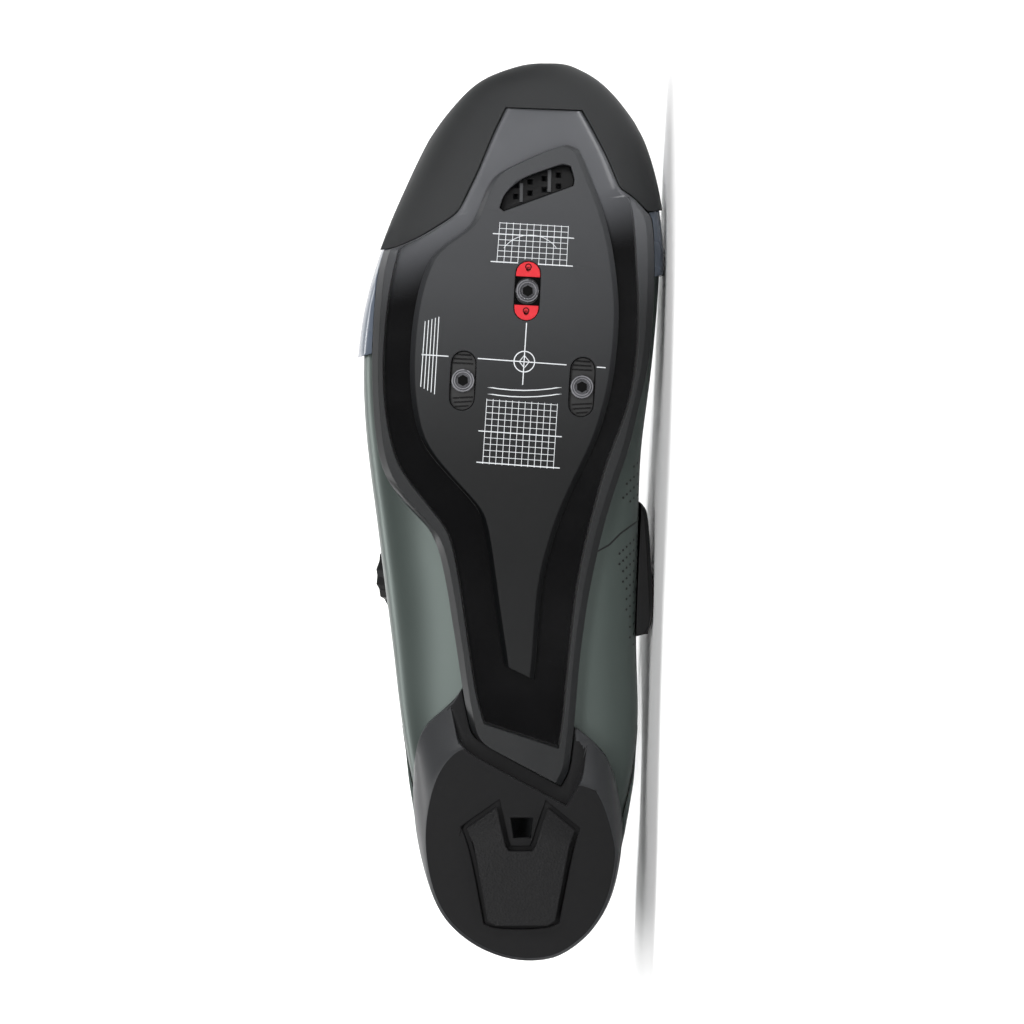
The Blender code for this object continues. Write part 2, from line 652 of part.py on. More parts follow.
def build_upper():
    upper = last_form("upper", 0.0, "upper")
    boolean(upper, last_form("cut_inside", -UPPER_WALL))
    line = [(along * SHOE_LENGTH, height * COLLAR_HEIGHT)
            for along, height in smooth_rows(COLLAR_ROWS, SECTION_STEPS)]
    line += [(line[-1][0], 2 * INSTEP_HEIGHT), (line[0][0], 2 * INSTEP_HEIGHT)]
    boolean(upper, side_block("cut_collar", line, -FAR, FAR))
    sides = [(half * THROAT_WIDTH, along * SHOE_LENGTH)
             for along, half in smooth_rows(THROAT_ROWS, SECTION_STEPS)]
    throat = sides + [(-out, along) for out, along in sides[::-1]]
    boolean(upper, prism("cut_throat", throat, INSTEP_HEIGHT / 2, 2 * INSTEP_HEIGHT))
    rows = np.array(UNDER_ROWS)
    under = [plan_point(along, lateral) for along, lateral, medial in rows]
    under += [plan_point(along, medial) for along, lateral, medial in rows[::-1]]
    boolean(upper, prism("cut_under", under, -FAR, UNDER_CUT))
    return upper


def build_insole():
    lift = UPPER_WALL + SEAM_GAP
    insole = last_form("insole", -lift, "lining")
    steps = np.linspace(0.0, SHOE_LENGTH, 24)
    top = [(y, last_at(y)["low"] + lift + INSOLE_THICKNESS) for y in steps]
    profile = [(-FAR / 2, top[0][1])] + top + [(SHOE_LENGTH + FAR / 2, top[-1][1])]
    profile += [(SHOE_LENGTH + FAR / 2, -FAR), (-FAR / 2, -FAR)]
    boolean(insole, side_block("keep_insole", profile, -FAR, FAR), "INTERSECT")
    return insole


def build_tongue():
    lift = UPPER_WALL + TONGUE_CLEARANCE
    rows = 9
    columns = 7
    starts = np.linspace(THROAT_ROWS[-1][0] + TONGUE_AHEAD,
                         THROAT_ROWS[0][0] + TONGUE_BEHIND, rows)
    halves = smooth_rows(THROAT_ROWS, 6)
    rings = []
    for share in starts:
        along = share * SHOE_LENGTH
        half = np.interp(share, halves[:, 0], halves[:, 1]) * THROAT_WIDTH + TONGUE_OVERLAP
        outs = np.linspace(half, -half, columns)
        outer = [on_last(out, along, -lift)[0] for out in outs]
        inner = [on_last(out, along, -lift - TONGUE_THICKNESS)[0] for out in outs[::-1]]
        rings.append(outer + inner)
    last_ring_points = rings[-1]
    for step in (1, 2, 3):
        move = Vector((0, -TONGUE_LEAN, 1.0)) * TONGUE_RISE * step / 3
        rings.append([point + move for point in last_ring_points])
    return loft("tongue", rings, "lining")


def sole_ring(station):
    row = dict(zip(SOLE_COLUMNS, station))
    lateral = Vector(plan_point(row["lateral_along"], row["lateral_out"]))
    medial = Vector(plan_point(row["medial_along"], row["medial_out"]))
    across = medial - lateral
    width = across.length
    across.normalize()
    left = row["lateral_rim"] * BALL_WIDTH
    right = row["medial_rim"] * BALL_WIDTH
    draft = 0.4 * RIM_CHAMFER
    round_left = min(RIM_ROUND, 0.6 * left)
    round_right = min(RIM_ROUND, 0.6 * right)
    drop = RIM_DROP * row["edge"]
    lip = drop * row["lip"]
    shape = ((0.0, None, 0), (0.0, drop, round_left), (round_left, drop, 0),
             (left, drop, 0), (left + draft, lip, 0),
             (width - right - draft, lip, 0), (width - right, drop, 0),
             (width - round_right, drop, 0), (width, drop, round_right), (width, None, 0))
    ring = []
    for distance, below, rise in shape:
        point = lateral + across * distance
        level = inside_height(point.y)
        if below is not None:
            level = sole_height(point.y) + channel_depth(point.y) - below + rise
        ring.append((point.x, point.y, level))
    return ring


def build_sole(forms):
    sole = loft("sole", [sole_ring(station) for station in SOLE_ROWS], "sole")
    boolean(sole, forms["gap"])
    boolean(sole, forms["vent"])
    return sole


def plate_ring(station):
    row = dict(zip(PLATE_COLUMNS, station))
    lateral = Vector(plan_point(row["lateral_along"], row["lateral_out"]))
    medial = Vector(plan_point(row["medial_along"], row["medial_out"]))
    across = medial - lateral
    width = across.length
    across.normalize()
    shape = ((0.0, None), (0.0, PLATE_BEVEL), (PLATE_BEVEL, 0.0),
             (width - PLATE_BEVEL, 0.0), (width, PLATE_BEVEL), (width, None))
    ring = []
    for distance, height in shape:
        point = lateral + across * distance
        if height is None:
            height = channel_depth(point.y) - SEAM_GAP
        ring.append((point.x, point.y, sole_height(point.y) + height))
    return ring


def build_plate(forms):
    plate = loft("cleat_plate", [plate_ring(station) for station in PLATE_ROWS], "plate")
    boolean(plate, forms["vent"])
    for name, middle in BOLTS.items():
        slot = capsule(middle, SLOT_WIDTH, SLOT_WIDTH + SLOT_TRAVEL, CLEAT_TURN)
        boolean(plate, prism("cut_slot_" + name, slot, -FAR, FAR))
    return plate


def build_cleat_hardware():
    """Slides, nuts and red stops in the three bolt slots."""
    seat = CHANNEL_DEPTH - SEAM_GAP
    width = SLOT_WIDTH - 2 * SEAM_GAP
    length = SLOT_WIDTH + SLOT_TRAVEL - 2 * SEAM_GAP
    collar = SLIDE_DEPTH - SEAM_GAP
    nut = ((0.0, collar - NUT_FLOOR), (NUT_BORE, collar - NUT_FLOOR), (NUT_BORE, NUT_SUNK),
           (NUT_RADIUS, NUT_SUNK), (NUT_RADIUS, collar), (0.0, collar))
    for name, middle in BOLTS.items():
        level = sole_height(middle[1])
        long = SLIDE_LENGTH if name == "front" else length
        plan = capsule(middle, width, long, CLEAT_TURN)
        prism("slide_" + name, plan, level + SLIDE_DEPTH, level + seat, "black")
        turned("nut_" + name, nut, upright(middle, level), 12, "steel")
    middle = BOLTS["front"]
    level = sole_height(middle[1])
    turn = Matrix.Rotation(CLEAT_TURN, 2)
    reach = SLIDE_LENGTH / 2 + SEAM_GAP
    for end, sign in (("front", 1), ("rear", -1)):
        plan = capsule(middle, width, length, CLEAT_TURN)
        stop = prism("stop_" + end, plan, level + NUT_SUNK, level + seat, "red")
        block = [(-FAR, reach), (FAR, reach), (FAR, -FAR), (-FAR, -FAR)]
        block = [tuple(turn @ Vector((x, y * sign)) + Vector(middle)) for x, y in block]
        boolean(stop, prism("cut_stop_" + end, block, -FAR, FAR))
        pin = cleat_point(0.0, BOLT_RISE + sign * (reach + length / 2) / 2)
        pinhole = capsule(pin, 2 * STOP_HOLE, 0.0, 0.0, 4)
        boolean(stop, prism("cut_pin_" + end, pinhole, -FAR, level + SLIDE_DEPTH))


def build_vent(forms):
    """Ribbed grille in the vent, under the last."""
    plan = grow([plan_point(*point) for point in VENT_OUTLINE], -SEAM_GAP)
    middle = np.mean(plan, axis=0)
    grille = prism("vent_grille", plan, lambda y: under_last(y) - VENT_SKIN,
                   inside_height, "black")
    boolean(grille, forms["gap"])
    verts = []
    faces = []
    for column in (-1.5, -0.5, 0.5, 1.5):
        for row in (-0.5, 0.5):
            x = middle[0] + column * VENT_COLUMN_PITCH
            y = middle[1] + row * VENT_ROW_PITCH - VENT_LEAN * (x - middle[0])
            start = len(verts)
            half = VENT_HOLE / 2
            for z in (-FAR, FAR):
                verts += [(x - half, y - half, z), (x + half, y - half, z),
                          (x + half, y + half, z), (x - half, y + half, z)]
            faces += [tuple(start + i for i in face) for face in
                      ((0, 1, 2, 3), (4, 7, 6, 5), (0, 4, 5, 1), (1, 5, 6, 2), (2, 6, 7, 3),
                       (3, 7, 4, 0))]
    boolean(grille, add_object("cut_vent_holes", verts, faces))
    return grille


def wrap(name, inner, thickness, finish):
    """A shell lying on the last: outer form less inner form, to be trimmed."""
    piece = last_form(name, inner + thickness, finish)
    boolean(piece, last_form("cut_under_" + name, inner))
    return piece


def bumper_top(along):
    start = BUMPER_START * SHOE_LENGTH
    low = inside_height(start)
    return low + (BUMPER_HEIGHT - low) * (along - start) / (TOE_END * SHOE_LENGTH - start)


def guard_top(along):
    start = GUARD_START * SHOE_LENGTH
    low = last_at(start)["wide"] + GUARD_STEP
    return low + (GUARD_HEIGHT - low) * (along - start) / (TOE_END * SHOE_LENGTH - start)


def toe_block(name, rear, slant, low, top, grown=0.0):
    """Block over the toe: its rear edge runs obliquely, its top follows a line."""
    def rear_edge(x):
        return rear * SHOE_LENGTH - slant * x - grown
    plan = [(FAR, rear_edge(FAR)), (FAR, SHOE_LENGTH + FAR), (-FAR, SHOE_LENGTH + FAR),
            (-FAR, rear_edge(-FAR))]
    return prism(name, plan, low, lambda y: top(y) + grown)


def build_toe(forms):
    bumper = wrap("toe_bumper", SEAM_GAP, BUMPER_THICKNESS, "rubber")
    boolean(bumper, forms["sole_room"])
    boolean(bumper, toe_block("keep_bumper", BUMPER_START, BUMPER_SLANT, -FAR, bumper_top),
            "INTERSECT")
    guard = wrap("forefoot_guard", SEAM_GAP, GUARD_THICKNESS, "panel")
    boolean(guard, forms["sole_room"])
    boolean(guard, toe_block("keep_guard", GUARD_START, GUARD_SLANT, -FAR, guard_top),
            "INTERSECT")
    boolean(guard, toe_block("cut_bumper_room", BUMPER_START, BUMPER_SLANT, -2 * FAR,
                             bumper_top, SEAM_GAP))


def cup_top(along):
    return CUP_HEIGHT - CUP_SLOPE * along


def heel_floor(along):
    return PAD_PROUD + HEEL_RISE * max(along, 0.0)


def build_heel(forms):
    base = [plan_point(row[0], row[1]) for row in HEEL_ROWS]
    cup = [plan_point(row[2], row[3]) for row in HEEL_ROWS]
    shrunk = grow(base, -RIM_CHAMFER)
    rings = [[(x, y, heel_floor(y)) for x, y in shrunk],
             [(x, y, heel_floor(y) + RIM_CHAMFER) for x, y in base],
             [(x, y, CUP_WAIST * cup_top(y)) for x, y in cup],
             [(x, y, cup_top(y)) for x, y in cup]]
    block = loft("heel_base", rings, "heel")
    boolean(block, forms["gap"])
    tail = edges_plan(SOLE_ROWS[:TAIL_ROWS], SOLE_COLUMNS)
    boolean(block, prism("cut_tail", grow(tail, SEAM_GAP), -FAR, FAR))
    boolean(block, prism("cut_tail_groove", grow(tail, TAIL_GROOVE), -FAR,
                         lambda y: sole_height(y) + CHANNEL_DEPTH + SEAM_GAP))
    outline = [plan_point(row[0], row[1]) for row in PAD_ROWS]
    pocket = PAD_PROUD + PAD_DEPTH
    boolean(block, prism("cut_pad", grow(outline, PAD_GROOVE), -FAR, pocket))
    hollow = grow([plan_point(row[0], row[1]) for row in HEEL_ROWS[2:-2]], -HEEL_WALL)
    hollow_room = prism("cut_hollow", hollow, lambda y: heel_floor(y) + HEEL_SKIN, FAR)
    boolean(hollow_room, prism("keep_tail_wall", grow(tail, TAIL_GROOVE + TAIL_WALL),
                               -2 * FAR, 2 * FAR))
    boolean(block, hollow_room)
    drain = [plan_point(*point) for point in DRAIN_HOLE]
    boolean(block, prism("cut_drain", drain, -FAR, FAR))
    count = len(outline)
    verts = [(x, y, row[2] * PAD_PROUD) for (x, y), row in zip(outline, PAD_ROWS)]
    verts += [(x, y, pocket - SEAM_GAP) for x, y in outline]
    flat = tuple(index for index, row in enumerate(PAD_ROWS) if row[2] == 0.0)
    faces = [flat, tuple(range(count, 2 * count))[::-1], *PAD_WINGS]
    for index in range(count):
        following = (index + 1) % count
        faces.append((index, following, count + following, count + index))
    add_object("heel_pad", verts, faces, "rubber")
    counter = wrap("heel_counter", SEAM_GAP, COUNTER_THICKNESS, "heel")
    line = [(along * SHOE_LENGTH, share * COUNTER_HEIGHT)
            for along, share in smooth_rows(COUNTER_ROWS, SECTION_STEPS)]
    profile = line + [(COUNTER_FOOT, cup_top(COUNTER_FOOT) + SEAM_GAP),
                      (-FAR, cup_top(-FAR) + SEAM_GAP)]
    boolean(counter, side_block("keep_counter", profile, -FAR, FAR), "INTERSECT")
    tab = wrap("heel_tab", COUNTER_THICKNESS + 2 * SEAM_GAP, TAB_THICKNESS, "black")
    middle = LAST_ROWS[0][3] * BALL_WIDTH
    plan = [(middle - TAB_WIDTH / 2, -FAR), (middle + TAB_WIDTH / 2, -FAR),
            (middle + TAB_WIDTH / 2, TAB_REACH),
            (middle - TAB_WIDTH / 2, TAB_REACH)]
    boolean(tab, prism("keep_tab", plan, TAB_START, COLLAR_HEIGHT + TAB_RISE),
            "INTERSECT")


def strap_plan():
    rear = [(out * BALL_WIDTH, STRAP_ALONG * SHOE_LENGTH + back * STRAP_WIDTH)
            for out, back, front in STRAP_ROWS]
    ahead = [(out * BALL_WIDTH, STRAP_ALONG * SHOE_LENGTH + front * STRAP_WIDTH)
             for out, back, front in STRAP_ROWS]
    return rear + ahead[::-1]


def cable_points():
    return [on_last(out * BALL_WIDTH, along * SHOE_LENGTH, lift * CABLE_LIFT)[0]
            for out, along, lift in CABLE_ROWS]


def tube(name, points, radius, sides, finish=None, extend=0.0):
    """A round tube with flat ends along the points."""
    if extend:
        points = list(points)
        points[0] = points[0] + (points[0] - points[1]).normalized() * extend
        points[-1] = points[-1] + (points[-1] - points[-2]).normalized() * extend
    rings = []
    side = None
    for index, point in enumerate(points):
        ahead = points[min(index + 1, len(points) - 1)] - points[max(index - 1, 0)]
        ahead.normalize()
        side = Vector((0, 0, 1)) if side is None else side
        side = (side - ahead * side.dot(ahead)).normalized()
        other = ahead.cross(side)
        rings.append([point + (side * math.cos(a) + other * math.sin(a)) * radius
                      for a in (2 * math.pi * k / sides for k in range(sides))])
    return loft(name, rings, finish)


def build_closure(forms):
    strap = wrap("power_strap", SEAM_GAP, STRAP_THICKNESS, "upper")
    boolean(strap, prism("keep_strap", strap_plan(), STRAP_FLOOR, 2 * INSTEP_HEIGHT),
            "INTERSECT")
    outline = [plan_point(*point) for point in ANCHOR_ROWS]
    rings = [[(x + inset, y, height) for x, y in outline]
             + [(0.0, outline[-1][1], height), (0.0, outline[0][1], height)]
             for height, inset in ANCHOR_SECTION]
    anchor = loft("strap_anchor", rings, "black")
    boolean(anchor, forms["gap"])
    tube("lace_cable", cable_points(), CABLE_RADIUS, 6, "steel")
    room = tube("cut_cable", cable_points(), CABLE_RADIUS + 2 * SEAM_GAP, 6, None,
                2 * SEAM_GAP)
    for name, out, along, half_out, half_along in GUIDES:
        guide = wrap(name, SEAM_GAP, GUIDE_THICKNESS, "black")
        x, y = plan_point(along, out)
        plan = rounded_plan(x, y, half_out * GUIDE_SIZE, half_along * GUIDE_SIZE)
        boolean(guide, prism("keep_" + name, plan, GUIDE_FLOOR, 2 * INSTEP_HEIGHT), "INTERSECT")
        boolean(guide, room)
    guide = wrap("guide_strap", STRAP_THICKNESS + 2 * SEAM_GAP, GUIDE_THICKNESS, "black")
    x, y = plan_point(STRAP_GUIDE[1], STRAP_GUIDE[0])
    plan = rounded_plan(x, y, STRAP_GUIDE[2] * GUIDE_SIZE, STRAP_GUIDE[3] * GUIDE_SIZE)
    boolean(guide, prism("keep_guide_strap", plan, GUIDE_FLOOR, 2 * INSTEP_HEIGHT), "INTERSECT")
    boolean(guide, room)
    along = STRAP_ALONG * SHOE_LENGTH - DIAL_BACK
    row = last_at(along)
    rise = (DIAL_SEAT_HEIGHT - row["wide"]) / (row["high"] - row["wide"])
    reach = row["lateral"] - row["ridge"]
    out = row["ridge"] + reach * (1 - rise ** row["top_power"]) ** (1 / row["top_power"])
    frame = seat_frame(out, along)
    wide = DIAL_RADIUS + DIAL_FLANGE
    base = ((0.0, -wide), (wide, -wide), (wide, 0.7 * DIAL_BASE_HEIGHT),
            (DIAL_RADIUS, DIAL_BASE_HEIGHT), (0.0, DIAL_BASE_HEIGHT))
    seat = turned("dial_base", base, frame, 20, "black")
    boolean(seat, forms["gap"])
    boolean(seat, room)
    low = DIAL_BASE_HEIGHT + SEAM_GAP
    high = low + DIAL_HEIGHT
    knob = ((0.0, low), (DIAL_RADIUS, low), (DIAL_RADIUS, high - RIM_CHAMFER),
            (DIAL_CROWN * DIAL_RADIUS, high), (0.0, high))
    turned("dial_knob", knob, frame, 2 * DIAL_TEETH, "black", TOOTH_DEPTH)


def rounded_plan(x, y, half_out, half_along):
    """Four-sided plan with its corners cut."""
    cut = CORNER_SHARE * min(half_out, half_along)
    return [(x + half_out, y - half_along + cut), (x + half_out, y + half_along - cut),
            (x + half_out - cut, y + half_along), (x - half_out + cut, y + half_along),
            (x - half_out, y + half_along - cut), (x - half_out, y - half_along + cut),
            (x - half_out + cut, y - half_along), (x + half_out - cut, y - half_along)]


def solid_points():
    """World points, volume and centre of every finished piece."""
    graph = bpy.context.evaluated_depsgraph_get()
    made = []
    for piece in bpy.context.scene.objects:
        if piece.type != "MESH" or piece.hide_render:
            continue
        mesh = piece.evaluated_get(graph).to_mesh()
        mesh.calc_loop_triangles()
        points = np.array([tuple(v.co) for v in mesh.vertices])
        corners = points[np.array([tuple(t.vertices) for t in mesh.loop_triangles])]
        cones = np.einsum("ij,ij->i", corners[:, 0], np.cross(corners[:, 1], corners[:, 2])) / 6
        volume = cones.sum()
        centre = (corners.sum(axis=1) / 4 * cones[:, None]).sum(axis=0) / volume
        made.append((points, volume * DENSITIES[piece["finish"]], centre))
    return made


def lying_turn(solids):
    """Turn that lays the shoe on its medial side, on the face where it stays by itself."""
    weight = sum(mass for points, mass, centre in solids)
    centre = sum(mass * middle for points, mass, middle in solids) / weight
    hull = bmesh.new()
    for point in np.concatenate([points for points, mass, middle in solids]):
        hull.verts.new(point)
    bmesh.ops.convex_hull(hull, input=hull.verts)
    best = None
    for face in hull.faces:
        face.normal_update()
        normal = face.normal.copy()
        if normal.length < 0.5 or len(face.verts) != 3:
            continue
        corners = [v.co for v in face.verts]
        if normal.dot(corners[0] - Vector(centre)) < 0:
            normal.negate()
        if normal.x > -0.5:
            continue
        foot = Vector(centre) + normal * normal.dot(corners[0] - Vector(centre))
        signs = [normal.dot((corners[(i + 1) % 3] - corners[i]).cross(foot - corners[i]))
                 for i in range(3)]
        if min(signs) >= 0 or max(signs) <= 0:
            if best is None or normal.x < best.x:
                best = normal
    hull.free()
    up = -best
    toe = (Vector((0, 1, 0)) - up * up.y).normalized()
    top = up.cross(toe)
    return Matrix((toe, top, up)).to_4x4()


def lay_down():
    """Carry all pieces on one empty to the lying pose, standing on the origin's level."""
    solids = solid_points()
    turn = lying_turn(solids)
    points = np.concatenate([points for points, mass, middle in solids])
    moved = points @ np.array(turn.to_3x3()).T
    low = moved.min(axis=0)
    high = moved.max(axis=0)
    shift = Vector((-(low[0] + high[0]) / 2, -(low[1] + high[1]) / 2, -low[2]))
    carrier = bpy.data.objects.new("lying_pose", None)
    bpy.context.scene.collection.objects.link(carrier)
    carrier.matrix_world = Matrix.Translation(shift) @ turn
    for piece in bpy.context.scene.objects:
        if piece.type == "MESH":
            piece.parent = carrier


def shade_pieces():
    for piece in bpy.context.scene.objects:
        if piece.type == "MESH" and not piece.hide_render:
            piece.data.shade_smooth()
            piece.data.set_sharp_from_angle(angle=math.radians(35))


def main():
    clear_scene()
    forms = {
        "gap": last_form("cut_last", SEAM_GAP),
        "vent": prism("cut_vent", [plan_point(*point) for point in VENT_OUTLINE], -FAR, FAR),
        "sole_room": prism("cut_sole_room", grow(SOLE_PLAN, SEAM_GAP), -FAR,
                           lambda y: last_at(y)["wide"]),
    }
    build_upper()
    build_insole()
    build_tongue()
    build_sole(forms)
    build_plate(forms)
    build_cleat_hardware()
    build_vent(forms)
    build_toe(forms)
    build_heel(forms)
    build_closure(forms)
    shade_pieces()
    lay_down()


main()
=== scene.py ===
import json
import math

import bmesh
import bpy
from mathutils import Matrix, Vector


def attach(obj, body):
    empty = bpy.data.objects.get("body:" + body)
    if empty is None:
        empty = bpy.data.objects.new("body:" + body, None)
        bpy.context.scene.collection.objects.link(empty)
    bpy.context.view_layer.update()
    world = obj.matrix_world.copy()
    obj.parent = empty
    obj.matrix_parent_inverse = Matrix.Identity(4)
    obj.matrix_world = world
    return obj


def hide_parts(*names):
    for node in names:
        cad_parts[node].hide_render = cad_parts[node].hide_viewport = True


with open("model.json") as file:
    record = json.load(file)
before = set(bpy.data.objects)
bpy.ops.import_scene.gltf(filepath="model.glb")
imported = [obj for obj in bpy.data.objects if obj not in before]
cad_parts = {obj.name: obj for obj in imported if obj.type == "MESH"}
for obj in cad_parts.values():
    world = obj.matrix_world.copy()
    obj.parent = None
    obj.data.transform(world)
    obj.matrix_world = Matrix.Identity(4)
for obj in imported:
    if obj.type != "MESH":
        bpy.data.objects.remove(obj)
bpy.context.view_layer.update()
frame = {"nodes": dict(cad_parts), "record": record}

MM = 0.001

# The shoe's own directions, from the two flat faces that the record states
MOUNTS = {m["name"]: m for m in frame["record"]["mounts"]}
CLEAT_AT = Vector(MOUNTS["cleat_platform"]["pos_m"])
HEEL_AT = Vector(MOUNTS["heel_tread"]["pos_m"])
UP = -Vector(MOUNTS["cleat_platform"]["axis"]).normalized()
TOE = (CLEAT_AT - HEEL_AT).normalized()
TOE = (TOE - UP * TOE.dot(UP)).normalized()
LATERAL = TOE.cross(UP).normalized()

# Where the cleat mount sits in the shoe's own sizes, in metres
CLEAT_OUT, CLEAT_ALONG = -0.0007, 0.17948

# Size of a pixel on the cleat plate, and the pixels of the shoe's middle line and heel
PIXEL = 0.3094 * MM
PIXEL_MIDDLE, PIXEL_HEEL = 520.0, 965.0


def shoe(out, along, height=0.0):
    """World point from the shoe's own sizes: out to the lateral side, along to the toe."""
    return CLEAT_AT + LATERAL * (out - CLEAT_OUT) + TOE * (along - CLEAT_ALONG) + UP * height


def own(direction):
    """A world direction turned into the shoe's own out, along and up."""
    return Vector((direction.dot(LATERAL), direction.dot(TOE), direction.dot(UP)))


def own_place(point):
    """The shoe's own out, along and height of a world point."""
    return own(point - CLEAT_AT) + Vector((CLEAT_OUT, CLEAT_ALONG, 0.0))


def photo(x, y, height=0.0):
    """World point under a pixel of the photograph, at a height over the cleat plate."""
    return shoe((PIXEL_MIDDLE - x) * PIXEL, (PIXEL_HEEL - y) * PIXEL, height)


def pixel(place):
    """The photograph's pixel of a place in the shoe's own sizes."""
    return PIXEL_MIDDLE - place.x / PIXEL, PIXEL_HEEL - place.y / PIXEL


def inside(x, y, outline):
    """Whether a pixel lies inside a closed outline."""
    odd = False
    for (ax, ay), (bx, by) in zip(outline, outline[1:] + outline[:1]):
        if (ay > y) != (by > y) and x < (bx - ax) * (y - ay) / (by - ay) + ax:
            odd = not odd
    return odd


# Finishes

COAT_ROUGHNESS = 0.12
DRIFT_DETAIL, GRAIN_DETAIL = 3.0, 4.0
DRIFT_FROM, DRIFT_TO = 0.3, 0.7
CORNER_SAMPLES = 4
RELIEF_STRENGTH = 0.6
GLOSS_DRIFT = 0.08
LEAST_ROUGHNESS = 0.02


def tone(red, green, blue):
    """Linear colour of a screen colour."""
    made = []
    for value in (red, green, blue):
        value /= 255
        made.append(value / 12.92 if value < 0.04045 else ((value + 0.055) / 1.055) ** 2.4)
    return (*made, 1.0)


def noise(nodes, links, place, size, detail):
    """A noise over the piece's own place, with a size in millimetres."""
    made = nodes.new("ShaderNodeTexNoise")
    made.inputs["Scale"].default_value = 1.0 / (size * MM)
    made.inputs["Detail"].default_value = detail
    links.new(place, made.inputs["Vector"])
    return made.outputs["Fac"]


def drifting(nodes, links, slow, colour, drift, begin=0.0, end=1.0):
    """A colour that a slow noise makes a little darker and lighter."""
    ramp = nodes.new("ShaderNodeValToRGB")
    for element, position, share in zip(ramp.color_ramp.elements, (begin, end),
                                        (1 - drift, 1 + drift)):
        element.position = position
        element.color = (*[c * share for c in colour[:3]], 1.0)
    links.new(slow, ramp.inputs["Fac"])
    return ramp.outputs["Color"]


def faded(nodes, links, place, first, last, direction, begin, end):
    """A colour that turns into another between two distances along a direction."""
    along = nodes.new("ShaderNodeVectorMath")
    along.operation = "DOT_PRODUCT"
    along.inputs[1].default_value = direction
    links.new(place, along.inputs[0])
    share = nodes.new("ShaderNodeMapRange")
    share.interpolation_type = "SMOOTHSTEP"
    share.inputs["From Min"].default_value = begin
    share.inputs["From Max"].default_value = end
    links.new(along.outputs["Value"], share.inputs["Value"])
    both = nodes.new("ShaderNodeMix")
    both.data_type = "RGBA"
    first_colour, last_colour, mixed = both.inputs[6], both.inputs[7], both.outputs[2]
    links.new(share.outputs["Result"], both.inputs["Factor"])
    links.new(first, first_colour)
    links.new(last, last_colour)
    return mixed


def grained(nodes, links, place, grain, grain_size, cells):
    """Relief from a fine noise, or from round cells as on a knit or a mesh."""
    if cells:
        fine = nodes.new("ShaderNodeTexVoronoi")
        fine.inputs["Scale"].default_value = 1.0 / (grain_size * MM)
        links.new(place, fine.inputs["Vector"])
        height = fine.outputs["Distance"]
    else:
        height = noise(nodes, links, place, grain_size, GRAIN_DETAIL)
    relief = nodes.new("ShaderNodeBump")
    relief.inputs["Strength"].default_value = RELIEF_STRENGTH
    relief.inputs["Distance"].default_value = grain * MM
    links.new(height, relief.inputs["Height"])
    return relief


def finish(name, colour, rough, grain, grain_size, drift, drift_size, metal=0.0, coat=0.0,
           edge=0.0, sheen=0.0, cells=False, gleam=0.4, fade=None):
    """A surface with a slow drift of colour, a fine grain and slightly uneven gloss.

    Grain is a depth and grain_size and drift_size are lengths in millimetres, and edge is
    the radius that catches light along corners. A fade is a direction, the distances along
    it where it begins and ends, and the colour that it ends in. Every fade here paints
    light into the colour.
    """
    made = bpy.data.materials.new(name)
    made.use_nodes = True
    nodes = made.node_tree.nodes
    links = made.node_tree.links
    shader = nodes["Principled BSDF"]
    shader.inputs["Metallic"].default_value = metal
    shader.inputs["Coat Weight"].default_value = coat
    shader.inputs["Coat Roughness"].default_value = COAT_ROUGHNESS
    shader.inputs["Sheen Weight"].default_value = sheen
    shader.inputs["Specular IOR Level"].default_value = gleam
    place = nodes.new("ShaderNodeTexCoord").outputs["Object"]
    slow = noise(nodes, links, place, drift_size, DRIFT_DETAIL)
    shade = drifting(nodes, links, slow, colour, drift, DRIFT_FROM, DRIFT_TO)
    if fade:
        direction, begin, end, last_colour = fade
        last = drifting(nodes, links, slow, last_colour, drift)
        shade = faded(nodes, links, place, shade, last, direction, begin, end)
    links.new(shade, shader.inputs["Base Color"])
    gloss = nodes.new("ShaderNodeMapRange")
    gloss.inputs["To Min"].default_value = max(rough - GLOSS_DRIFT, LEAST_ROUGHNESS)
    gloss.inputs["To Max"].default_value = min(rough + GLOSS_DRIFT, 1.0)
    links.new(slow, gloss.inputs["Value"])
    links.new(gloss.outputs["Result"], shader.inputs["Roughness"])
    relief = grained(nodes, links, place, grain, grain_size, cells)
    links.new(relief.outputs["Normal"], shader.inputs["Normal"])
    if edge:
        corner = nodes.new("ShaderNodeBevel")
        corner.samples = CORNER_SAMPLES
        corner.inputs["Radius"].default_value = edge * MM
        links.new(corner.outputs["Normal"], relief.inputs["Normal"])
    return made


def lit_toward_toe(begin, end, last_colour, lean=0.0):
    """A fade of painted light between two distances from the heel, leaning by a share to the
    lateral side.
    """
    direction = TOE + LATERAL * lean
    heel = direction.dot(shoe(0.0, 0.0))
    return direction, heel + begin, heel + end, last_colour


# Name, colour, roughness, depth and size of the grain, drift of the colour and its size

# Satin upper and strap
UPPER_SATIN = finish("upper_satin", tone(74, 82, 79), 0.40, 0.02, 0.5, 0.06, 60, metal=0.45,
                     gleam=0.3)
STRAP_SATIN = finish("strap_satin", tone(70, 78, 75), 0.38, 0.02, 0.5, 0.08, 30, metal=0.4,
                     edge=0.3)
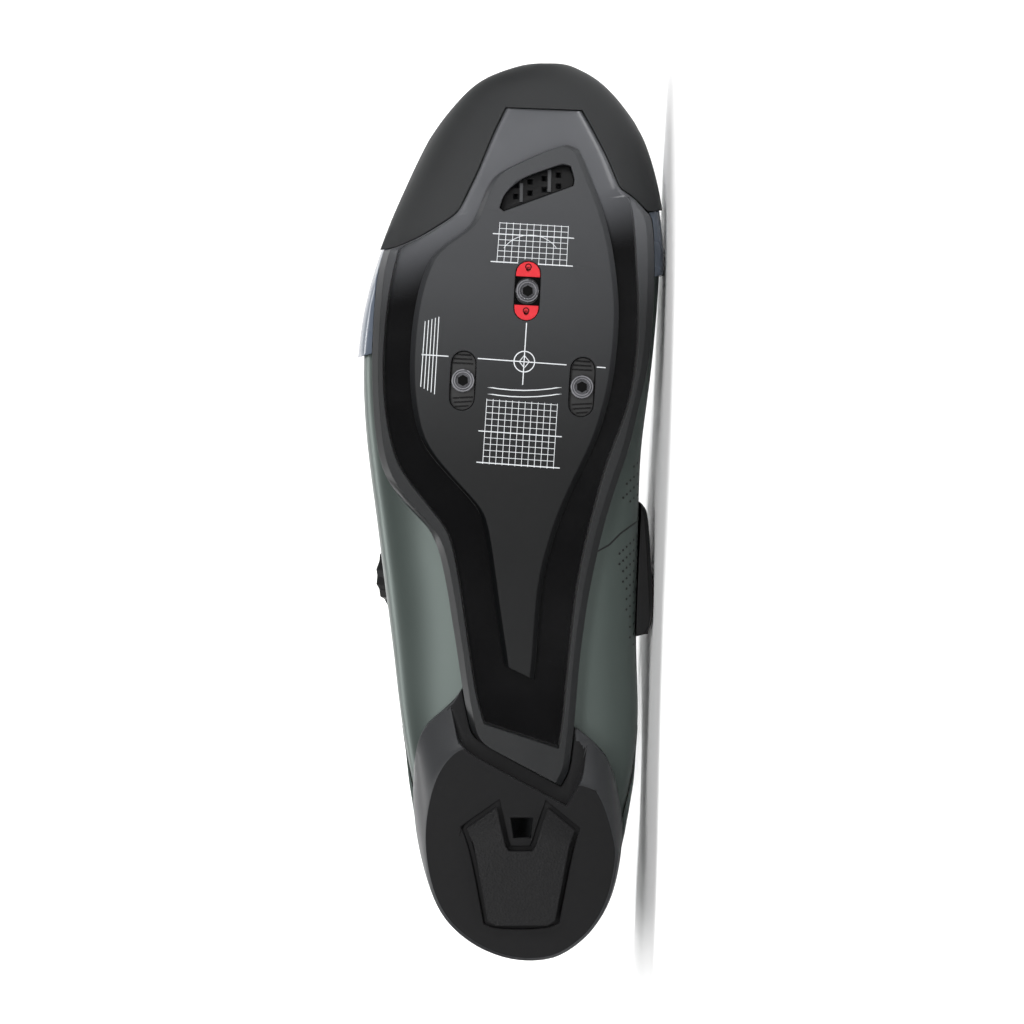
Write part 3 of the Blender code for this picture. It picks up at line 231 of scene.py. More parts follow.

# Sole and plate, with a painted highlight that turns their colour lighter grey toward the toe
FRONT_LIT_TONE, PLATE_FRONT_LIT_TONE = tone(84, 85, 88), tone(60, 61, 63)
# Distances from the heel where each piece's painted light begins and ends, in metres
RIM_LIGHT_FADE, CHANNEL_LIGHT_FADE, PLATE_LIGHT_FADE = (0.195, 0.245), (0.212, 0.236), (0.145, 0.245)
CHANNEL_LEAN = 0.25
RIM_SATIN = finish("rim_satin", tone(30, 31, 32), 0.34, 0.015, 0.35, 0.08, 30, edge=0.5,
                   gleam=0.22, fade=lit_toward_toe(*RIM_LIGHT_FADE, FRONT_LIT_TONE))
CHANNEL_BLACK = finish("channel_black", tone(5, 5, 6), 0.14, 0.004, 1.2, 0.12, 25, coat=0.15,
                       gleam=0.2, edge=0.3,
                       fade=lit_toward_toe(*CHANNEL_LIGHT_FADE, FRONT_LIT_TONE, CHANNEL_LEAN))
PLATE_MATTE = finish("plate_matte", tone(11, 12, 13), 0.40, 0.01, 0.25, 0.08, 45, edge=0.6,
                     gleam=0.18, fade=lit_toward_toe(*PLATE_LIGHT_FADE, PLATE_FRONT_LIT_TONE))
PRINT_WHITE = finish("print_white", tone(206, 209, 212), 0.50, 0.004, 0.2, 0.04, 20)

# Rubber and gloss bands
BUMPER_RUBBER = finish("bumper_rubber", tone(35, 36, 37), 0.60, 0.05, 0.30, 0.08, 25, edge=0.6,
                       gleam=0.3)
GUARD_GLOSS = finish("guard_gloss", tone(84, 92, 104), 0.26, 0.01, 0.8, 0.06, 30, coat=0.25,
                     edge=0.3)

# Heel, where the grey of the block's sides and the dark of its flat bottom are lit and shaded
# copies of one material: painted light and painted shade
CUP_LIT_GREY = finish("cup_lit_grey", tone(42, 43, 45), 0.46, 0.03, 0.35, 0.08, 25, edge=0.6, gleam=0.3)
HEEL_SHADED_DARK = finish("heel_shaded_dark", tone(16, 16, 17), 0.52, 0.03, 0.35, 0.08, 20, edge=0.4,
                   gleam=0.12)
PAD_RUBBER = finish("pad_rubber", tone(17, 17, 18), 0.50, 0.22, 0.70, 0.08, 20, edge=0.4,
                    gleam=0.15, cells=True)

# Small moulded and metal pieces
BLACK_MOULDED = finish("black_moulded", tone(7, 7, 8), 0.42, 0.015, 0.3, 0.15, 12, edge=0.4,
                       gleam=0.16)
DEEP_BLACK = finish("deep_black", tone(11, 11, 12), 0.45, 0.02, 0.4, 0.2, 10, edge=0.2)
# Painted shade: a black spot in each nut's deep socket and a black ring round each stop's hole
SOCKET_SHADE = finish("socket_painted_shade", tone(4, 4, 4), 0.70, 0.01, 0.4, 0.2, 6, gleam=0.1)
VENT_GREY = finish("vent_grey", tone(52, 53, 55), 0.45, 0.01, 0.3, 0.1, 8, edge=0.2)
RED_MOULDED = finish("red_moulded", tone(196, 20, 34), 0.34, 0.01, 0.3, 0.06, 8, edge=0.25)
NUT_STEEL = finish("nut_steel", tone(84, 84, 87), 0.28, 0.01, 0.3, 0.15, 5, metal=1.0,
                   edge=0.2)
NUT_RIM = finish("nut_rim", tone(128, 128, 132), 0.30, 0.01, 0.3, 0.1, 5, metal=1.0)
CABLE_STEEL = finish("cable_steel", tone(62, 62, 64), 0.34, 0.06, 0.45, 0.2, 4, metal=0.8)

# Lining, binding, tongue and insole
LINING_KNIT = finish("lining_knit", tone(44, 45, 47), 0.85, 0.16, 0.9, 0.18, 14, sheen=0.3,
                     cells=True)
BINDING_KNIT = finish("binding_knit", tone(26, 27, 28), 0.75, 0.10, 0.5, 0.15, 9, sheen=0.2,
                      gleam=0.2, cells=True)
PAD_MESH = finish("pad_mesh", tone(38, 39, 41), 0.88, 0.22, 1.1, 0.16, 12, sheen=0.35,
                  cells=True)
INSOLE_FELT = finish("insole_felt", tone(58, 60, 62), 0.90, 0.10, 0.6, 0.16, 16, sheen=0.25)

BACKDROP = finish("backdrop_white", tone(250, 250, 250), 0.85, 0.02, 3.0, 0.01, 400)


# Making and finishing pieces

MERGE_WITHIN = 0.01 * MM
QUAD_BEND, QUAD_SKEW = math.radians(14), math.radians(70)
REGION_BEND = math.radians(25)
BELOW_SOLE = -0.06

# Share of its lift that a shell keeps where it is thinned out
THINNEST = 0.12


def make_active(piece):
    bpy.ops.object.select_all(action="DESELECT")
    piece.select_set(True)
    bpy.context.view_layer.objects.active = piece


def apply_steps(piece):
    make_active(piece)
    for step in [m.name for m in piece.modifiers]:
        bpy.ops.object.modifier_apply(modifier=step)


def dress(piece, slot, *materials):
    piece.data.materials.clear()
    for material in materials:
        piece.data.materials.append(material)
    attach(piece, "root")


def hold_edges(piece, edge, corner):
    """Crease the edges that bend more than an angle, and the points where they turn."""
    shape = bmesh.new()
    shape.from_mesh(piece.data)
    edge_hold = shape.edges.layers.float.new("crease_edge")
    corner_hold = shape.verts.layers.float.new("crease_vert")
    held = set()
    for line in shape.edges:
        if len(line.link_faces) != 2 or line.calc_face_angle(0.0) > edge:
            line[edge_hold] = 1.0
            held.add(line)
    for vert in shape.verts:
        lines = [line for line in vert.link_edges if line in held]
        if len(lines) == 2:
            first, second = [(line.other_vert(vert).co - vert.co).normalized()
                             for line in lines]
            if first.angle(-second, 0.0) > corner:
                vert[corner_hold] = 1.0
    shape.to_mesh(piece.data)
    shape.free()


def refined(node, name, slot, *materials, levels=2, edge=38, corner=34, smooth=34):
    """A finer copy of a CAD node: flat facets become curves, real edges and corners stay.

    Edges that bend more than edge stay sharp, and so do the points where such an edge turns
    more than corner. Shading is smooth up to smooth. All three are in degrees.
    """
    piece = bpy.data.objects.new(name, frame["nodes"][node].data.copy())
    bpy.context.scene.collection.objects.link(piece)
    make_active(piece)
    bpy.ops.mesh.customdata_custom_splitnormals_clear()
    bpy.ops.object.mode_set(mode="EDIT")
    bpy.ops.mesh.select_all(action="SELECT")
    bpy.ops.mesh.remove_doubles(threshold=MERGE_WITHIN)
    bpy.ops.mesh.tris_convert_to_quads(face_threshold=QUAD_BEND, shape_threshold=QUAD_SKEW)
    bpy.ops.object.mode_set(mode="OBJECT")
    hold_edges(piece, math.radians(edge), math.radians(corner))
    step = piece.modifiers.new("smooth", "SUBSURF")
    step.levels = levels
    step.render_levels = levels
    apply_steps(piece)
    bpy.ops.object.shade_smooth_by_angle(angle=math.radians(smooth))
    dress(piece, slot, *materials)
    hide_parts(node)
    return piece


def paint(piece, pick):
    """Give each face the finish whose number pick returns for its own place and direction."""
    for face in piece.data.polygons:
        face.material_index = pick(own_place(face.center), own(face.normal))


def grow_region(piece, seed, allowed):
    """Numbers of the faces that join a seed face without crossing a sharper edge."""
    shape = bmesh.new()
    shape.from_mesh(piece.data)
    shape.faces.ensure_lookup_table()
    places = [own_place(face.calc_center_median()) for face in shape.faces]
    reached = {face.index for face in shape.faces if seed(places[face.index], own(face.normal))}
    waiting = list(reached)
    while waiting:
        face = shape.faces[waiting.pop()]
        for line in face.edges:
            if len(line.link_faces) != 2 or line.calc_face_angle(0.0) > REGION_BEND:
                continue
            for near in line.link_faces:
                if near.index not in reached and allowed(places[near.index]):
                    reached.add(near.index)
                    waiting.append(near.index)
    shape.free()
    return reached


def under(piece, x, y):
    """The point of a piece under a pixel, seen from the sole, and its direction."""
    found, place, normal, face = piece.ray_cast(photo(x, y, BELOW_SOLE), UP)
    return (place, normal) if found else (None, None)


def thin_out(piece, target, begin, end):
    """Bring a shell down to the piece under it toward its front edge, as if skived."""
    for vert in piece.data.vertices:
        share = (own_place(vert.co).y - begin) / (end - begin)
        if share <= 0.0:
            continue
        found, seat, normal, face = target.closest_point_on_mesh(vert.co)
        if found:
            keep = 1.0 + (THINNEST - 1.0) * min(share, 1.0)
            vert.co = seat + (vert.co - seat) * keep


# Upper and the soft pieces inside

AXIS_OUT, AXIS_HEIGHT, AXIS_REAR, AXIS_FRONT = -0.001, 0.028, 0.035, 0.235
OUTSIDE_LEAST = 0.12
SKIVE_FROM, SKIVE_TO = 0.040, 0.066


def wall_side(place, normal):
    """Outside of the upper, or its lining and cut edges."""
    axis = Vector((AXIS_OUT, min(max(place.y, AXIS_REAR), AXIS_FRONT), AXIS_HEIGHT))
    return 0 if normal.dot((place - axis).normalized()) > OUTSIDE_LEAST else 1


upper = refined("upper", "upper_shell", "upper", UPPER_SATIN, LINING_KNIT, edge=55, smooth=50)
paint(upper, wall_side)
counter = refined("heel_counter", "counter_shell", "heel_counter", UPPER_SATIN, edge=50)
thin_out(counter, upper, SKIVE_FROM, SKIVE_TO)
refined("power_strap", "strap_body", "power_strap", STRAP_SATIN, edge=50)
refined("strap_anchor", "anchor_block", "strap_anchor", BLACK_MOULDED)
refined("heel_tab", "heel_pull", "heel_tab", BLACK_MOULDED, edge=50)
insole = refined("insole", "footbed", "insole", INSOLE_FELT, edge=60)
tongue = refined("tongue", "tongue_pad", "tongue", PAD_MESH, edge=70, corner=60)

# Sole, plate and heel

# The channel's floor, drawn in pixels: where it surely is, and how far it runs at the front
CHANNEL_CORE = [
    (430, 290), (402, 290), (393, 328), (391, 390), (400, 448), (440, 500), (456, 530),
    (462, 600), (478, 690), (505, 718), (540, 738), (554, 738), (560, 690), (578, 560),
    (600, 480), (616, 440), (628, 384), (632, 333), (630, 290),
]
FRONT_FLOOR = [(399, 300), (398, 258), (420, 239), (453, 219), (479, 173), (514, 95), (588, 95),
               (620, 200), (634, 216), (638, 250), (640, 300)]
FLOOR_FREE = 290
# How far a face turns down to seed the channel's floor, and to get the heel's painted shade
FACING_DOWN, HEEL_FACING_DOWN = -0.8, -0.93


def floor_seed(place, normal):
    return normal.z < FACING_DOWN and inside(*pixel(place), CHANNEL_CORE)


def floor_allowed(place):
    x, y = pixel(place)
    return y > FLOOR_FREE or inside(x, y, FRONT_FLOOR)


sole = refined("sole", "sole_shell", "sole", RIM_SATIN, CHANNEL_BLACK)
for number in grow_region(sole, floor_seed, floor_allowed):
    sole.data.polygons[number].material_index = 1
plate = refined("cleat_plate", "plate_body", "cleat_plate", PLATE_MATTE)
base = refined("heel_base", "heel_block", "heel_base", CUP_LIT_GREY, HEEL_SHADED_DARK)
# Painted shade on the heel block's flat bottom that faces down, painted light on its sides
paint(base, lambda place, normal: 1 if normal.z < HEEL_FACING_DOWN else 0)
refined("heel_pad", "heel_tread_pad", "heel_pad", PAD_RUBBER, levels=1, corner=10)
refined("toe_bumper", "bumper_shell", "toe_bumper", BUMPER_RUBBER)
refined("forefoot_guard", "guard_band", "forefoot_guard", GUARD_GLOSS, edge=50)

# Small hard pieces keep their CAD shape and get a finish by the first word of their name

SMALL_FINISHES = {
    "slide": DEEP_BLACK, "nut": NUT_STEEL, "stop": RED_MOULDED, "vent": BLACK_MOULDED,
    "dial": BLACK_MOULDED, "guide": BLACK_MOULDED, "lace": CABLE_STEEL,
}
for node, part in frame["nodes"].items():
    material = SMALL_FINISHES.get(node.split("_")[0])
    if material:
        for place in part.material_slots:
            place.material = material


# Flat shapes drawn on a sheet under the sole, then laid on the piece above them

SHEET_HEIGHT = -0.004
SHEET = Matrix((-LATERAL, TOE, -UP)).transposed().to_4x4()
SHEET.translation = photo(PIXEL_MIDDLE, PIXEL_HEEL, SHEET_HEIGHT)
LAY_LIFT = 0.01 * MM
STRIP_STEP = 0.8 * MM

# A strip's side is a long one if it is longer than this share of the strip
LONG_SIDE = 0.99

HOOP_POINTS, SOCKET_POINTS = 96, 6
SOCKET_INSET = 0.3


def on_sheet(x, y):
    """A pixel as a place on the flat sheet."""
    return (x - PIXEL_MIDDLE) * PIXEL, (PIXEL_HEEL - y) * PIXEL


def strip(start, end, width):
    """A straight line between two pixels, with points along it so that it can bend."""
    ax, ay = on_sheet(*start)
    bx, by = on_sheet(*end)
    length = math.hypot(bx - ax, by - ay)
    bpy.ops.mesh.primitive_plane_add(size=1.0, location=((ax + bx) / 2, (ay + by) / 2, 0.0))
    line = bpy.context.object
    line.scale = (length, width, 1.0)
    line.rotation_euler = (0.0, 0.0, math.atan2(by - ay, bx - ax))
    bpy.ops.object.transform_apply(location=True, rotation=True, scale=True)
    bpy.ops.object.mode_set(mode="EDIT")
    bpy.ops.mesh.select_mode(type="EDGE")
    shape = bmesh.from_edit_mesh(line.data)
    for side in shape.edges:
        side.select = side.calc_length() > LONG_SIDE * length
    bpy.ops.mesh.subdivide(number_cuts=max(1, round(length / STRIP_STEP)))
    bpy.ops.mesh.select_mode(type="VERT")
    bpy.ops.object.mode_set(mode="OBJECT")
    return line


def flat_round(centre, radius, points):
    """A filled flat circle about a pixel, open in edit mode with all of it selected."""
    bpy.ops.mesh.primitive_circle_add(vertices=points, radius=radius, fill_type="NGON",
                                      location=(*on_sheet(*centre), 0.0))
    bpy.ops.object.transform_apply(location=True, rotation=True, scale=True)
    bpy.ops.object.mode_set(mode="EDIT")
    bpy.ops.mesh.select_all(action="SELECT")
    return bpy.context.object


def hoop(centre, radius, width, keep=None):
    """A ring about a pixel, or with keep only its part past a pixel in a direction."""
    ring = flat_round(centre, radius, HOOP_POINTS)
    bpy.ops.mesh.inset(thickness=width)
    bpy.ops.mesh.delete(type="FACE")
    if keep:
        point, side = keep
        bpy.ops.mesh.select_all(action="SELECT")
        bpy.ops.mesh.bisect(plane_co=(*on_sheet(*point), 0.0), plane_no=(*side, 0.0),
                            clear_inner=True)
    bpy.ops.object.mode_set(mode="OBJECT")
    return ring


def socket(centre, radius):
    """A flat six-sided spot, laid as painted shade in the socket of a bolt."""
    spot = flat_round(centre, radius, SOCKET_POINTS)
    bpy.ops.mesh.inset(thickness=SOCKET_INSET * radius)
    bpy.ops.object.mode_set(mode="OBJECT")
    return spot


def lay_on(piece, target):
    """Project a sheet's points along its own Z, and delete those that miss the target."""
    lay = piece.modifiers.new("lay", "SHRINKWRAP")
    lay.target = target
    lay.wrap_method = "PROJECT"
    lay.use_project_z = True
    lay.use_negative_direction = True
    lay.use_positive_direction = False
    lay.offset = LAY_LIFT
    apply_steps(piece)
    for polygon in piece.data.polygons:
        polygon.select = False
    for line in piece.data.edges:
        line.select = False
    for vert in piece.data.vertices:
        vert.select = abs(vert.co.z) < LAY_LIFT
    bpy.ops.object.mode_set(mode="EDIT")
    bpy.ops.mesh.delete(type="VERT")
    bpy.ops.object.mode_set(mode="OBJECT")


def laid(lines, target, name, slot, material, thickness):
    """Flat shapes joined, laid on the piece over them and given a thickness."""
    make_active(lines[0])
    for line in lines:
        line.select_set(True)
    bpy.ops.object.join()
    piece = bpy.context.object
    piece.name = name
    piece.matrix_world = SHEET
    lay_on(piece, target)
    depth = piece.modifiers.new("depth", "SOLIDIFY")
    depth.thickness = thickness
    depth.offset = 1.0
    apply_steps(piece)
    bpy.ops.object.transform_apply(location=True, rotation=True, scale=True)
    bpy.ops.object.mode_set(mode="EDIT")
    bpy.ops.mesh.select_all(action="SELECT")
    bpy.ops.mesh.normals_make_consistent(inside=False)
    bpy.ops.object.mode_set(mode="OBJECT")
    dress(piece, slot, material)


# Cleat alignment marks, in pixels

FINE, FIRM, BOLD = 0.17 * MM, 0.238 * MM, 0.30 * MM
PRINT_DEPTH = 0.03 * MM
PAST_GRID, PAST_GRID_LONG = 0.02, 0.09

# Corners in order round the grid, columns, rows and the rows that are bolder and longer
FRONT_GRID = (((500, 225), (568, 229), (566, 268), (497, 264)), 11, 8, (2, 7))
REAR_GRID = (((487, 401), (557, 406), (553, 468), (483, 463)), 12, 11, (5, 10))

# Bars at the lateral edge: the first bar's ends, and the step to the next bar's ends
BAR_TOP, BAR_LOW, BAR_COUNT = (426, 323), (421.5, 388), 5
BAR_TOP_STEP, BAR_LOW_STEP = (3.4, -1.1), (3.4, 1.8)

CROSS_LINES = [((526.6, 322), (522.5, 386)), ((422.4, 356), (449, 357.7)),
               ((478, 359.8), (566, 366.2)), ((596, 368.4), (604.8, 369))]
CROSS_MIDDLE, CROSS_RADIUS = (524.2, 363), 10.7
DIAMOND = [(524.2, 356.8), (529.2, 363), (524.2, 369.2), (519.2, 363)]
DIAMOND_WIDTH = 0.221 * MM
FRONT_ARC, FRONT_ARC_RADIUS, FRONT_ARC_FROM = (530, 270), 33, (530, 250)
REAR_ARC, REAR_ARC_RADIUS, REAR_ARC_FROM = (524.5, 190), 202, (524.5, 388.5)
REAR_ARC_DROPS = ((0.0, 0.0), (0.0, 6.5))
TO_TOE_SIDE, TO_HEEL_SIDE = (0.0, 1.0), (0.0, -1.0)


def blend(a, b, share):
    return a[0] + (b[0] - a[0]) * share, a[1] + (b[1] - a[1]) * share


def stepped(point, step, count=1):
    return point[0] + step[0] * count, point[1] + step[1] * count


def grid_lines(corners, columns, rows, long_rows):
    """A printed grid over four corner pixels, with some rows bolder and longer."""
    top_left, top_right, low_right, low_left = corners
    lines = []
    for index in range(columns):
        share = index / (columns - 1)
        top = blend(top_left, top_right, share)
        low = blend(low_left, low_right, share)
        lines.append(strip(blend(top, low, -PAST_GRID), blend(top, low, 1 + PAST_GRID), FINE))
    for index in range(rows):
        share = index / (rows - 1)
        left = blend(top_left, low_left, share)
        right = blend(top_right, low_right, share)
        past, width = (PAST_GRID_LONG, BOLD) if index in long_rows else (0.0, FINE)
        lines.append(strip(blend(left, right, -past), blend(left, right, 1 + past), width))
    return lines


def cleat_marks():
    lines = grid_lines(*FRONT_GRID) + grid_lines(*REAR_GRID)
    lines += [strip(stepped(BAR_TOP, BAR_TOP_STEP, k), stepped(BAR_LOW, BAR_LOW_STEP, k), FIRM)
              for k in range(BAR_COUNT)]
    lines += [strip(start, end, BOLD) for start, end in CROSS_LINES]
    lines.append(hoop(FRONT_ARC, FRONT_ARC_RADIUS * PIXEL, FINE, (FRONT_ARC_FROM, TO_TOE_SIDE)))
    for drop in REAR_ARC_DROPS:
        lines.append(hoop(stepped(REAR_ARC, drop), REAR_ARC_RADIUS * PIXEL, BOLD,
                          (stepped(REAR_ARC_FROM, drop), TO_HEEL_SIDE)))
    lines.append(hoop(CROSS_MIDDLE, CROSS_RADIUS * PIXEL, BOLD))
    lines += [strip(a, b, DIAMOND_WIDTH) for a, b in zip(DIAMOND, DIAMOND[1:] + DIAMOND[:1])]
    laid(lines, plate, "plate_marks", "cleat_plate", PRINT_WHITE, PRINT_DEPTH)


# Slots, nuts, stops and vent, in pixels

SLOTS = {"slide_lateral": (463.3, 381.5), "slide_medial": (581.4, 388.0)}
RIB_START, RIB_PITCH, RIB_COUNT = 17.0, 4.2, 3
RIB_REACH, RIB_SLANT = 10.0, 0.5
RIB_WIDTH, RIB_DEPTH = 0.45 * MM, 0.35 * MM

NUTS = {"nut_front": (527.6, 292.6), "nut_lateral": (463.3, 381.5), "nut_medial": (581.4, 388.0)}
NUT_RINGS = ((11.0, 0.28 * MM), (8.6, 0.22 * MM))
SOCKET_RADIUS = 5.6
STOPS = {"stop_front": (528.3, 269.0), "stop_rear": (525.9, 312.5)}
STOP_RADIUS, STOP_RING = 3.3, 0.32 * MM
RING_DEPTH = 0.05 * MM

VENT_RIBS = [((521.4, 180.0), (521.1, 211.0), 1.0 * MM),
             ((549.4, 169.0), (549.1, 201.0), 1.1 * MM)]
VENT_RIB_DEPTH = 0.6 * MM


def slot_ribs():
    """Stepped ribs at both ends of the two side slots."""
    for node, (x, y) in SLOTS.items():
        ribs = []
        for end in (-1, 1):
            for step in range(RIB_COUNT):
                height = y + end * (RIB_START + RIB_PITCH * step)
                reach = RIB_REACH - step
                slant = end * RIB_SLANT
                ribs.append(strip((x - reach, height + slant), (x + reach, height - slant),
                                  RIB_WIDTH))
        laid(ribs, frame["nodes"][node], node + "_ribs", "slide", BLACK_MOULDED, RIB_DEPTH)


def nut_faces():
    """Bright rings on each cleat nut, and a dark spot of painted shade in its socket."""
    for node, middle in NUTS.items():
        target = frame["nodes"][node]
        rings = [hoop(middle, radius * PIXEL, width) for radius, width in NUT_RINGS]
        laid(rings, target, node + "_edges", "nut", NUT_RIM, RING_DEPTH)
        laid([socket(middle, SOCKET_RADIUS * PIXEL)], target, node + "_socket", "nut",
             SOCKET_SHADE, RING_DEPTH)


def stop_holes():
    """A dark ring of painted shade round the small hole of each red stop."""
    for node, middle in STOPS.items():
        laid([hoop(middle, STOP_RADIUS * PIXEL, STOP_RING)], frame["nodes"][node],
             node + "_hole", "stop", SOCKET_SHADE, RING_DEPTH)


def vent_ribs():
    """Two upright ribs between the holes of the vent's grille."""
    ribs = [strip(start, end, width) for start, end, width in VENT_RIBS]
    laid(ribs, frame["nodes"]["vent_grille"], "vent_ribs", "vent_grille", VENT_GREY,
         VENT_RIB_DEPTH)


cleat_marks()
slot_ribs()
nut_faces()
stop_holes()
vent_ribs()


# Pinholes of the upper, not cut but drawn as small dark discs of painted shade

HOLE_RADIUS, HOLE_DEPTH, HOLE_BEVEL, HOLE_SIDES = 0.42 * MM, 0.10 * MM, 0.03 * MM, 8
HOLE_LEAST_TURN = -0.08

# Holes seen from the sole, in pixels: two fields, and a grid of places that leans
FRONT_HOLES = [(617, 508), (640, 500), (645, 452), (640, 448)]
REAR_HOLES = [(617, 548), (640, 532), (640, 640), (632, 650)]
GRID_START, GRID_ROW, GRID_COLUMN = (616, 452), (0, 10.5), (3.6, -3.4)
GRID_ROWS, GRID_COLUMNS = 24, 9

# Holes on the medial side, in metres, in rows that grow shorter upward
SIDE_REACH = 0.09
SIDE_ALONG, SIDE_HEIGHT, SIDE_PITCH, SIDE_RISE = 0.150, 0.026, 3.3 * MM, 0.87
SIDE_ROWS, SIDE_COLUMNS, SIDE_SHORTER = 7, 9, 0.8


def joined(pieces, name):
    make_active(pieces[0])
    for piece in pieces:
        piece.select_set(True)
    bpy.ops.object.join()
    whole = bpy.context.object
    whole.name = name
    bpy.ops.object.transform_apply(location=True, rotation=True, scale=True)
    return whole


def placed_copy(first, place, normal):
    """A copy of a small piece that stands on a surface."""
    made = bpy.data.objects.new(first.name, first.data.copy())
    bpy.context.scene.collection.objects.link(made)
    turn = normal.to_track_quat("Z", "Y").to_matrix().to_4x4()
    made.matrix_world = Matrix.Translation(place) @ turn
    return made


def holes_from_sole():
    """Places and directions of the holes that the sole's view shows."""
    spots = []
    for row in range(GRID_ROWS):
        for column in range(GRID_COLUMNS):
            x, y = stepped(stepped(GRID_START, GRID_ROW, row), GRID_COLUMN, column)
            if inside(x, y, FRONT_HOLES) or inside(x, y, REAR_HOLES):
                place, normal = under(upper, x, y)
                if place is not None and normal.dot(UP) < HOLE_LEAST_TURN:
                    spots.append((place, normal))
    return spots


def holes_of_side():
    """Places and directions of the holes on the medial side."""
    spots = []
    for row in range(SIDE_ROWS):
        for column in range(SIDE_COLUMNS):
            along = SIDE_ALONG + column * SIDE_PITCH + (row % 2) * SIDE_PITCH / 2
            height = SIDE_HEIGHT + row * SIDE_PITCH * SIDE_RISE
            found, place, normal, face = upper.ray_cast(shoe(-SIDE_REACH, along, height), LATERAL)
            if found and column < SIDE_COLUMNS - row * SIDE_SHORTER:
                spots.append((place, normal))
    return spots


def pinholes():
    bpy.ops.mesh.primitive_cylinder_add(vertices=HOLE_SIDES, radius=HOLE_RADIUS,
                                        depth=HOLE_DEPTH)
    first = bpy.context.object
    bpy.ops.object.mode_set(mode="EDIT")
    bpy.ops.mesh.select_all(action="SELECT")
    bpy.ops.mesh.bevel(offset=HOLE_BEVEL, segments=1)
    bpy.ops.object.mode_set(mode="OBJECT")
    holes = joined([placed_copy(first, place, normal)
                    for place, normal in holes_from_sole() + holes_of_side()], "side_pinholes")
    bpy.data.objects.remove(first)
    # Each hole is a dark disc of painted shade
    dress(holes, "upper", DEEP_BLACK)


# Seam of the medial panel, in pixels

SEAM_LINE = ((596, 552), (609, 545), (621, 533), (638, 521))
SEAM_WIDTH, SEAM_DEPTH = 0.5 * MM, 0.05 * MM


def panel_seam():
    lines = [strip(a, b, SEAM_WIDTH) for a, b in zip(SEAM_LINE, SEAM_LINE[1:])]
    laid(lines, upper, "panel_seam", "upper", DEEP_BLACK, SEAM_DEPTH)


# Binding along the collar and the throat

BINDING_RADIUS, BINDING_ROUND, BINDING_SMOOTH = 1.15 * MM, 3, math.radians(50)
BINDING_FLOOR = 0.030


def mark_rim(piece):
    """Mark as seams the edges where the outside of the upper meets its lining."""
    shape = bmesh.new()
    shape.from_mesh(piece.data)
    for line in shape.edges:
        sides = {face.material_index for face in line.link_faces}
        low = min(own_place(vert.co).z for vert in line.verts)
        line.seam = len(line.link_faces) == 2 and len(sides) == 2 and low > BINDING_FLOOR
    shape.to_mesh(piece.data)
    shape.free()


def keep_rim():
    """Leave only the marked edges of the piece in edit mode."""
    bpy.ops.mesh.select_mode(type="EDGE")
    bpy.ops.mesh.select_all(action="SELECT")
    bpy.ops.mesh.delete(type="ONLY_FACE")
    shape = bmesh.from_edit_mesh(bpy.context.object.data)
    for line in shape.edges:
        line.select = not line.seam
    bpy.ops.mesh.delete(type="EDGE")
    bpy.ops.mesh.select_mode(type="VERT")


def bound_edge():
    """A thin rolled binding along the collar and the throat."""
    make_active(upper)
    bpy.ops.object.duplicate()
    edge = bpy.context.object
    for key in list(edge.keys()):
        del edge[key]
    mark_rim(edge)
    bpy.ops.object.mode_set(mode="EDIT")
    keep_rim()
    bpy.ops.object.mode_set(mode="OBJECT")
    bpy.ops.object.convert(target="CURVE")
    edge.data.bevel_depth = BINDING_RADIUS
    edge.data.bevel_resolution = BINDING_ROUND
    bpy.ops.object.convert(target="MESH")
    edge = bpy.context.object
    edge.name = "bound_edge"
    bpy.ops.object.shade_smooth_by_angle(angle=BINDING_SMOOTH)
    dress(edge, "upper", BINDING_KNIT)


pinholes()
panel_seam()
bound_edge()


# Studio: floor, light and camera

VIEW_OUT, VIEW_ALONG, VIEW_HEIGHT = 0.0024752, 0.140157, 0.010
MIDDLE = shoe(VIEW_OUT, VIEW_ALONG, VIEW_HEIGHT)
CAMERA_BACK, LENS, SENSOR = 1.7, 193.8, 36.0
FLOOR_SIDE, FLOOR_FRONT, FLOOR_BEHIND = 3.0, -3.0, 1.6
SWEEP_RADIUS, SWEEP_STEPS, SWEEP_SMOOTH, WALL_RISE = 0.6, 16, math.radians(30), 2.5
WORLD_WHITE, WORLD_STRENGTH = (1.0, 1.0, 1.0, 1.0), 0.18

# Watts, size, place and target of each lamp
LAMPS = {
    "key_above": (6.0, (0.9, 0.20), MIDDLE + Vector((-0.10, -0.83, 0.34)), MIDDLE),
    "key_toe": (4.0, (0.4, 0.5), MIDDLE + Vector((0.75, -0.70, 0.35)), MIDDLE),
    "backdrop_light": (90.0, (3.0, 0.6), Vector((0.0, 0.70, 2.2)), Vector((0.0, 2.0, 0.3))),
}


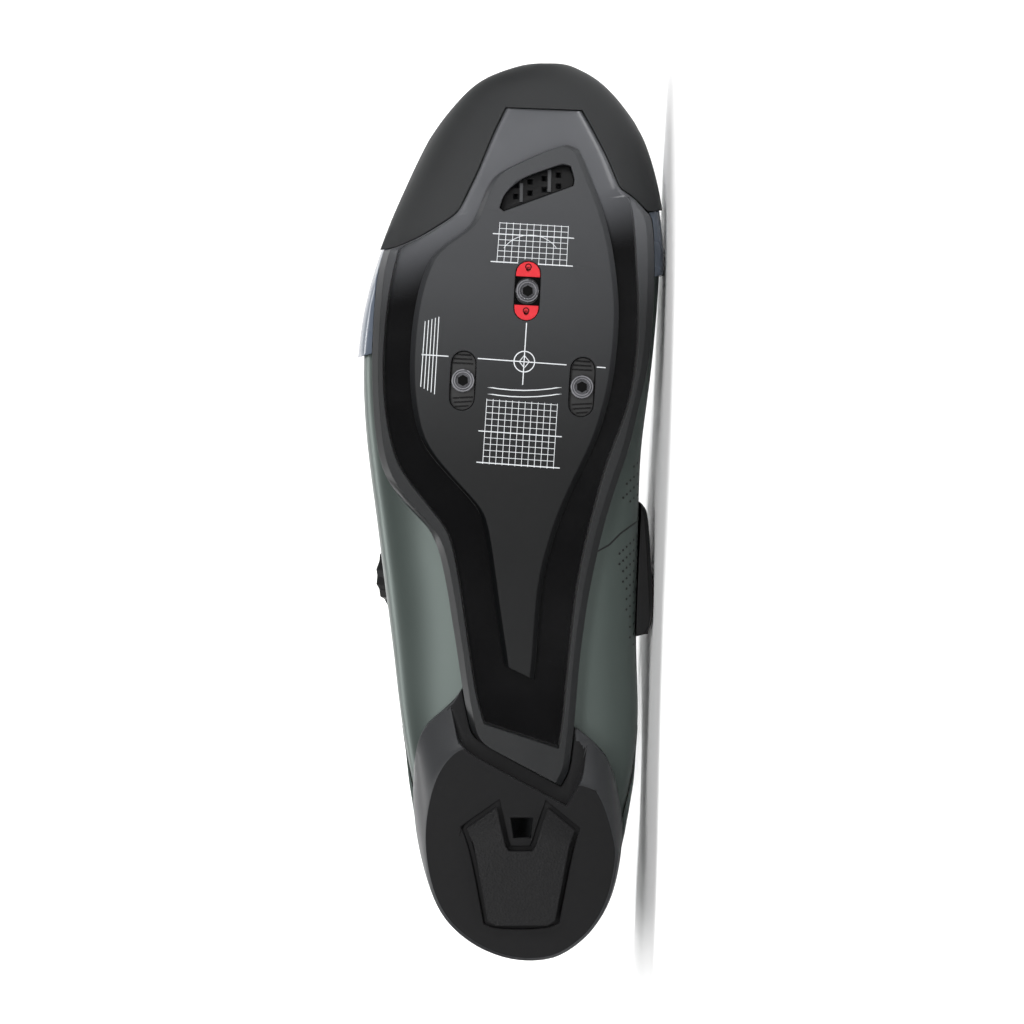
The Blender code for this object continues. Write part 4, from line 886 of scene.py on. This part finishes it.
def studio_sweep():
    """A pale floor that curves up behind the shoe."""
    bpy.ops.mesh.primitive_plane_add(size=1.0, location=(0.0, 0.0, 0.0))
    sweep = bpy.context.object
    sweep.scale = (2 * FLOOR_SIDE, FLOOR_BEHIND - FLOOR_FRONT, 1.0)
    sweep.location = (0.0, (FLOOR_BEHIND + FLOOR_FRONT) / 2, 0.0)
    bpy.ops.object.transform_apply(location=True, rotation=True, scale=True)
    bpy.ops.object.mode_set(mode="EDIT")
    bpy.ops.mesh.select_all(action="DESELECT")
    bpy.ops.mesh.select_mode(type="EDGE")
    shape = bmesh.from_edit_mesh(sweep.data)
    for line in shape.edges:
        line.select = all(v.co.y > FLOOR_BEHIND - MM for v in line.verts)
    bmesh.update_edit_mesh(sweep.data)
    bpy.ops.mesh.spin(steps=SWEEP_STEPS, angle=-math.pi / 2, axis=(1.0, 0.0, 0.0),
                      center=(0.0, FLOOR_BEHIND, SWEEP_RADIUS))
    bpy.ops.mesh.extrude_region_move(TRANSFORM_OT_translate={"value": (0.0, 0.0, WALL_RISE)})
    bpy.ops.mesh.select_all(action="SELECT")
    bpy.ops.mesh.normals_make_consistent(inside=False)
    bpy.ops.object.mode_set(mode="OBJECT")
    bpy.ops.object.shade_smooth_by_angle(angle=SWEEP_SMOOTH)
    sweep.name = "studio_sweep"
    sweep.data.materials.append(BACKDROP)


def lamp(name, watts, size, place, target):
    data = bpy.data.lights.new(name, "AREA")
    data.energy = watts
    data.shape = "RECTANGLE"
    data.size, data.size_y = size
    light = bpy.data.objects.new(name, data)
    bpy.context.scene.collection.objects.link(light)
    light.location = place
    light.rotation_euler = (target - place).to_track_quat("-Z", "Y").to_euler()


def studio_light():
    world = bpy.data.worlds.new("studio")
    world.use_nodes = True
    sky = world.node_tree.nodes["Background"]
    sky.inputs["Color"].default_value = WORLD_WHITE
    sky.inputs["Strength"].default_value = WORLD_STRENGTH
    bpy.context.scene.world = world
    for name, settings in LAMPS.items():
        lamp(name, *settings)
    bpy.context.scene.view_settings.view_transform = "Standard"


def photo_camera():
    """The photograph's view of the sole, rolled so that the toe is up."""
    lens = bpy.data.cameras.new("photo_camera")
    lens.sensor_width = SENSOR
    lens.lens = LENS
    camera = bpy.data.objects.new("photo_camera", lens)
    bpy.context.scene.collection.objects.link(camera)
    turned = Matrix((-LATERAL, TOE, -UP)).transposed().to_4x4()
    camera.matrix_world = Matrix.Translation(MIDDLE - UP * CAMERA_BACK) @ turned
    bpy.context.scene.camera = camera


studio_sweep()
studio_light()
photo_camera()
